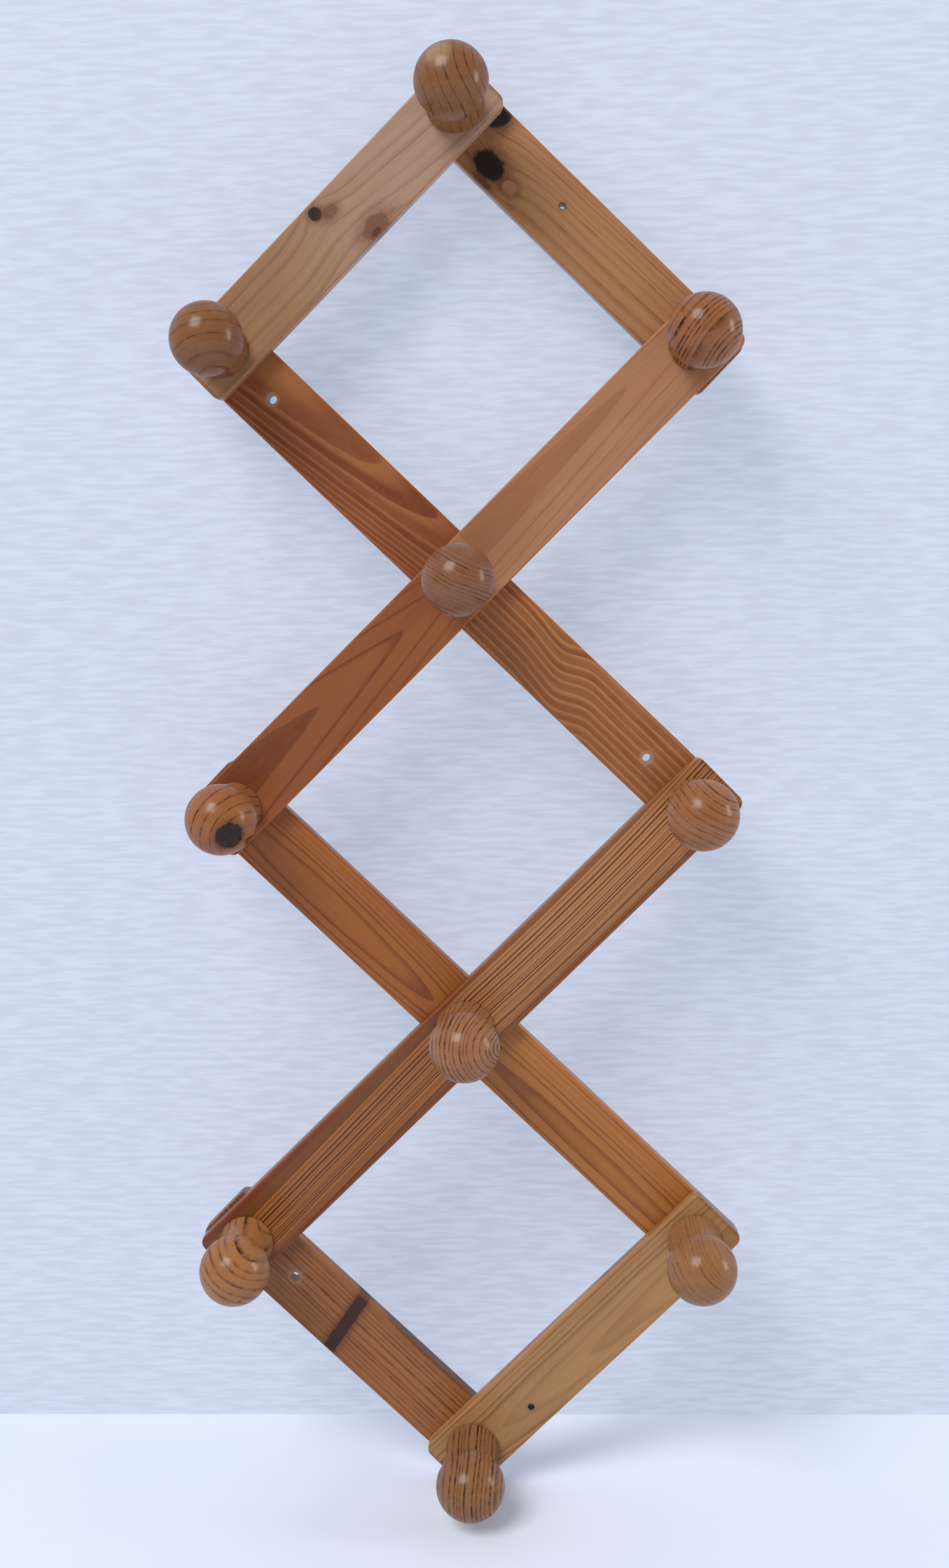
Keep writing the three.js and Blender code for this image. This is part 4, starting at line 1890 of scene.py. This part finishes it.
class Rack:
    """The whole rack: eight slats, ten pegs and their fastenings."""

    # Radii of the wall and nail holes, the flare of a nail hole, the depth of
    # the balls' centres and how much of a peg's ring lines is lost at a break.
    WALL_HOLE = 2.6
    NAIL_HOLE = 1.7
    NAIL_FLARE = 0.2
    BALL_FRONT = -63.3
    PEG_FADE = 0.62
    BROWN = (132, 84, 48)
    TAN = (154, 100, 60)

    def __init__(self) -> None:
        """Sets out the lattice and makes the wood and the steel."""
        self.lattice = Lattice()
        self.painter = WoodPainter(WoodGroups())
        self.steel = ZincSteel().make("zinc_steel")

    def painted_nail_hole_shade(self, along: float, up: float) -> KnotMark:
        """Painted shade on the walls and rim of a deep nail hole, with a faint brown ring round it."""
        return KnotMark(along, up, 2.0, 2.0, 0.2, 0.0, (36, 22, 14), (110, 70, 42), 1.0, 0.3)

    def nail_hole(self, along: float, up: float) -> Hole:
        """A nail hole of a slat."""
        return Hole(along, up, self.NAIL_HOLE, self.NAIL_FLARE)

    def slats(self) -> list[Slat]:
        """Every slat with the figure of its own board.

        Returns:
            The eight slats, front layer first.
        """
        wall = self.WALL_HOLE
        # Far colours are partly each board's own and partly painted light: every slat is lighter towards
        # its right.
        return [
            Slat(
                "front_slat_1_short", "front_slat_1", Layer.FRONT, 1, "left_1", Slot.PALE,
                Pine(
                    (160, 120, 86), (114, 75, 48),
                    Figure(24, 44, start=30, width=7.6, taper=-0.012),
                    far_early_and_light=(172, 138, 115), far_late_and_light=(126, 87, 66), change_from=30, change_to=130,
                    wander=5.0, dawn=0.6, uneven=1.6, contrast=0.48, seed=3.1,
                    sways=(Sway(72, 16, 4.0), Sway(104, 18, -4.0), Sway(150, 30, -4.0)),
                    knots=(
                        KnotMark(90.7, 13.8, 3.7, 4.0, 0.35, 5.0, (42, 34, 32), (98, 54, 36), 1.0, 0.5),
                        KnotMark(97.5, 8.5, 4.6, 3.4, 1.0, 2.0, (96, 54, 38), (110, 62, 42), 0.5, 0.4),
                        KnotMark(
                            110.0, -15.0, 9.0, 5.8, 1.3, 5.0, (116, 68, 54), (124, 74, 56), 0.7, 0.5
                        ),
                        KnotMark(
                            108.0, -17.5, 3.4, 1.8, 1.0, 0.0, (76, 42, 34), (104, 62, 48), 0.7, 0.3
                        ),
                    ),
                ),
            ),
            Slat(
                "front_slat_2_long", "front_slat_2", Layer.FRONT, 2, "left_2", Slot.HONEY,
                Pine(
                    (145, 82, 43), (102, 46, 18),
                    Figure(2.5, 11, tilt=-0.055, taper=0.178, start=15.6, width=17.0, tighten=0.024),
                    far_early_and_light=(170, 121, 85), far_late_and_light=(151, 99, 64),
                    far_figure=Figure(4, 10, taper=0.058, start=23.2, width=9.0, tighten=0.02),
                    wander=2.2, dawn=0.72, noon=0.97, uneven=0.3, contrast=0.86, even=0.7, seed=5.7,
                ),
            ),
            Slat(
                "front_slat_3_long", "front_slat_3", Layer.FRONT, 2, "left_3", Slot.HONEY,
                Pine(
                    (157, 97, 45), (52, 16, 3),
                    Figure(6, 60, tilt=0.028, start=51.6, width=3.4, tighten=0.034),
                    far_early_and_light=(177, 121, 72), far_late_and_light=(72, 28, 5),
                    far_figure=Figure(
                        6, 66, bow=0.00026, bow_from=275, start=49.6, width=3.2, tighten=0.026
                    ),
                    wander=0.9, dawn=0.5, noon=0.88, uneven=1.8, contrast=1.45, mottle=0.3, even=0.38,
                    fade=0.08, seed=8.2,
                    knots=(
                        KnotMark(
                            20.0, 17.6, 82.0, 2.4, 0.4, 0.0, (112, 50, 26), (126, 66, 38), 0.7, 0.3
                        ),
                        KnotMark(
                            184.0, 18.8, 33.0, 1.8, 0.4, 0.0, (118, 58, 30), (134, 76, 46), 0.65, 0.3
                        ),
                        KnotMark(
                            180.0, -19.0, 300.0, 3.0, 0.5, 0.0, (92, 42, 18), (112, 58, 28), 0.55, 0.25
                        ),
                    ),
                ),
            ),
            Slat(
                "front_slat_4_short", "front_slat_4", Layer.FRONT, 1, "bottom", Slot.PALE,
                Pine(
                    (173, 129, 82), (116, 72, 34),
                    Figure(12, -2, tilt=-0.06, taper=-0.05, start=4, width=3.6),
                    wander=6, dawn=0.4, contrast=0.72, seed=11.4,
                    # Painted shade in and round the nail hole.
                    knots=(self.painted_nail_hole_shade(44.0, -6.2),),
                ),
                holes=(self.nail_hole(44.0, -6.2),),
            ),
            Slat(
                "rear_slat_1_short", "rear_slat_1", Layer.REAR, 1, "top", Slot.GOLDEN,
                Pine(
                    (169, 121, 80), (116, 68, 34),
                    Figure(8, -32, tilt=0.03, start=2, width=24.0, tighten=0.085),
                    wander=3.5, dawn=0.4, uneven=1.3, contrast=0.68, fade=0.45, seed=14.9,
                    knots=(
                        KnotMark(20.0, 16.0, 6.5, 9.0, 0.4, 4.0, (42, 34, 28), (98, 58, 40), 1.0, 0.55),
                        KnotMark(
                            34.8, -8.8, 9.6, 7.2, 0.75, 6.0, (30, 17, 14), (102, 50, 28), 1.0, 0.65
                        ),
                        KnotMark(
                            51.5, -9.6, 4.4, 3.6, 1.1, 2.0, (164, 112, 80), (104, 60, 36), 0.85, 0.5
                        ),
                        KnotMark(38.0, -18.0, 6.5, 1.8, 1.2, 0.0, (74, 38, 26), (104, 60, 40), 0.7, 0.4),
                        # Painted shade in and round the nail hole.
                        self.painted_nail_hole_shade(80.0, 3.5),
                    ),
                ),
                holes=(self.nail_hole(80.0, 3.5),),
            ),
            Slat(
                "rear_slat_2_long", "rear_slat_2", Layer.REAR, 2, "left_1", Slot.RED_BROWN,
                Pine(
                    (159, 97, 55), (108, 44, 16),
                    Figure(30, 16, taper=0.075, start=32.4, width=7.2, tighten=0.062),
                    far_early_and_light=(180, 119, 70), far_late_and_light=(120, 58, 23),
                    far_figure=Figure(10, 44, start=23.0, width=4.4),
                    wander=1.4, dawn=0.05, noon=0.5, uneven=0.7, mottle=0.5, even=0.66, seed=17.3,
                    sways=(Sway(250, 20, -3.6, -0.5), Sway(276, 17, 9.0, -0.7)),
                    knots=(
                        KnotMark(
                            38.0, 0.0, 4.3, 4.3, 0.25, 0.0, (160, 118, 82), (150, 100, 66), 0.7, 0.2
                        ),
                        KnotMark(
                            336.0, 0.0, 4.3, 4.3, 0.25, 0.0, (174, 132, 98), (158, 108, 72), 0.7, 0.2
                        ),
                    ),
                ),
                holes=(Hole(38.0, 0.0, wall), Hole(336.0, 0.0, wall)),
            ),
            Slat(
                "rear_slat_3_long", "rear_slat_3", Layer.REAR, 2, "left_2", Slot.GOLDEN,
                Pine(
                    (160, 93, 38), (102, 44, 8),
                    Figure(15, -4.5, bow=0.00029, bow_from=75, start=14.8, width=2.3),
                    far_early_and_light=(175, 110, 50), far_late_and_light=(114, 56, 14),
                    far_figure=Figure(15, -6.5, bow=0.000107, bow_from=300, start=13.4, width=2.6),
                    wander=0.9, dawn=0.5, uneven=1.1, contrast=0.8, seed=21.8,
                ),
            ),
            Slat(
                "rear_slat_4_short", "rear_slat_4", Layer.REAR, 1, "left_3", Slot.RED_BROWN,
                Pine(
                    (152, 94, 46), (76, 32, 6),
                    Figure(10, 60, tilt=-0.01, start=36, width=4.0, tighten=0.006),
                    far_early_and_light=(160, 102, 54), far_late_and_light=(88, 42, 10), change_from=40, change_to=150,
                    wander=2.2, dawn=0.25, noon=0.85, uneven=1.7, contrast=0.85, fade=0.4, seed=25.5,
                    knots=(
                        KnotMark(
                            80.2, 0.0, 4.0, 60.0, 0.75, 0.0,
                            (56, 22, 12), (104, 44, 22), 0.95, 0.6, -0.17,
                        ),
                        KnotMark(
                            135.0, 20.4, 40.0, 1.8, 0.8, 0.0, (60, 32, 20), (90, 52, 34), 0.75, 0.3
                        ),
                        KnotMark(
                            38.0, 0.0, 4.4, 4.4, 0.25, 0.0, (158, 118, 86), (148, 104, 70), 0.75, 0.25
                        ),
                    ),
                ),
                holes=(Hole(38.0, 0.0, wall),),
            ),
        ]

    def pegs(self) -> list[Peg]:
        """Every peg with the grain that it was turned from.

        Returns:
            The ten pegs, from the top down.
        """
        ball, lost = self.BALL_FRONT, self.PEG_FADE
        return [
            Peg(
                "top", "front_slat_1",
                Pine(
                    (132, 86, 48), (50, 22, 7), Figure(44, 0, taper=0.03, width=5.0),
                    wander=3, dawn=0.78, noon=0.94, uneven=1.8, contrast=1.25, fade=lost, seed=2.0,
                ),
                -12, 4,
                (
                    PegPatch(
                        -7, ball - 16, 11, 7, 3, 3, 0.45,
                        (176, 146, 112), (186, 156, 124), (150, 110, 74),
                    ),
                ),
            ),
            Peg(
                "left_1", "front_slat_1",
                Pine(
                    self.BROWN, (58, 27, 10), Figure(60, 0, width=5.4),
                    wander=5, dawn=0.72, noon=0.94, uneven=1.6, contrast=0.95, fade=lost, seed=4.0,
                ),
                80, 5,
            ),
            Peg(
                "right_1", "front_slat_2",
                Pine(
                    (151, 94, 53), (32, 8, 3), Figure(80, 0, width=3.3),
                    wander=3.0, dawn=0.4, noon=0.9, uneven=1.8, contrast=1.4, even=0.4, fade=lost,
                    seed=6.0,
                ),
                45, 4,
            ),
            Peg(
                "centre_1", "front_slat_2",
                Pine(
                    (136, 88, 58), (56, 25, 12), Figure(44, 0, width=2.0),
                    wander=4, dawn=0.55, uneven=1.8, contrast=1.4, even=0.1, fade=lost, seed=8.0,
                ),
                -60, 8,
            ),
            Peg(
                "left_2", "front_slat_2",
                Pine(
                    (152, 94, 52), (76, 32, 12), Figure(34, 0, taper=0.03, width=6.2),
                    wander=3, dawn=0.74, noon=0.94, contrast=1.25, even=0.6, fade=lost, seed=10.0,
                ),
                48, 8, (PegPatch(7.6, ball - 17.2, -7.2, 8.0),),
            ),
            Peg(
                "right_2", "front_slat_3",
                Pine(
                    self.TAN, (58, 22, 8), Figure(26, 0, taper=0.04, width=3.0),
                    wander=5, dawn=0.58, uneven=1.8, contrast=1.4, even=0.2, fade=lost, seed=12.0,
                ),
                -42, 10,
            ),
            Peg(
                "centre_2", "front_slat_3",
                Pine(
                    (157, 104, 69), (40, 12, 4), Figure(26, 0, taper=0.04, width=2.7),
                    wander=3, dawn=0.55, noon=0.9, uneven=1.6, contrast=1.5, even=0.4, fade=lost,
                    seed=14.0,
                ),
                18, 8,
            ),
            Peg(
                "left_3", "front_slat_3",
                Pine(
                    (161, 108, 63), (60, 24, 6), Figure(26, 0, taper=0.03, width=5.4),
                    wander=4.5, dawn=0.5, contrast=1.2, even=0.5, fade=lost, seed=16.0,
                ),
                -32, 14,
                (
                    PegPatch(
                        5.0, ball - 15.5, -12.0, 1.0, 0.3, 1.0, 0.8,
                        (50, 26, 12), (70, 40, 24), (84, 46, 24),
                    ),
                ),
            ),
            Peg(
                "right_3", "front_slat_4",
                Pine(
                    (151, 103, 62), (88, 46, 20), Figure(36, 0, taper=0.03, width=2.6),
                    wander=5, dawn=0.56, uneven=1.8, contrast=1.0, even=0.1, fade=lost, seed=18.0,
                ),
                -24, 10,
            ),
            Peg(
                "bottom", "front_slat_4",
                Pine(
                    (145, 97, 59), (28, 8, 3), Figure(95, 0, width=2.7),
                    wander=1.8, dawn=0.4, noon=0.88, uneven=1.8, contrast=1.45, even=0.4, fade=lost,
                    seed=20.0,
                ),
                4, 3,
            ),
        ]

    def build(self) -> None:
        """Builds and reports every piece."""
        for slat in self.slats():
            made = slat.build(self.lattice, self.painter)
            LOG.info("slat %s rides on %s", made.name, slat.body)
        for peg in self.pegs():
            made = peg.build(self.lattice, self.painter)
            LOG.info("peg %s rides on %s", made.name, peg.body)
            for piece in Fastening(peg.pivot, peg.body).build(self.lattice, self.steel):
                LOG.info("fastening %s rides on %s", piece.name, peg.body)


def main() -> None:
    """Loads the frame, builds the rack and its studio and notes the sizes."""
    logging.basicConfig(level=logging.INFO, format="%(message)s")
    for name in ("Cube", "Light", "Camera"):
        left = bpy.data.objects.get(name)
        if left is not None:
            bpy.data.objects.remove(left)
    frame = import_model()
    cad_low, cad_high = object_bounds()
    LOG.info("frame of %d nodes", len(frame["nodes"]))
    Rack().build()
    studio = Studio()
    studio.stage(cad_low.z)
    studio.light((cad_low + cad_high) / 2.0)
    studio.camera()
    bpy.context.scene.view_settings.view_transform = "Standard"


if __name__ == "__main__":
    main()
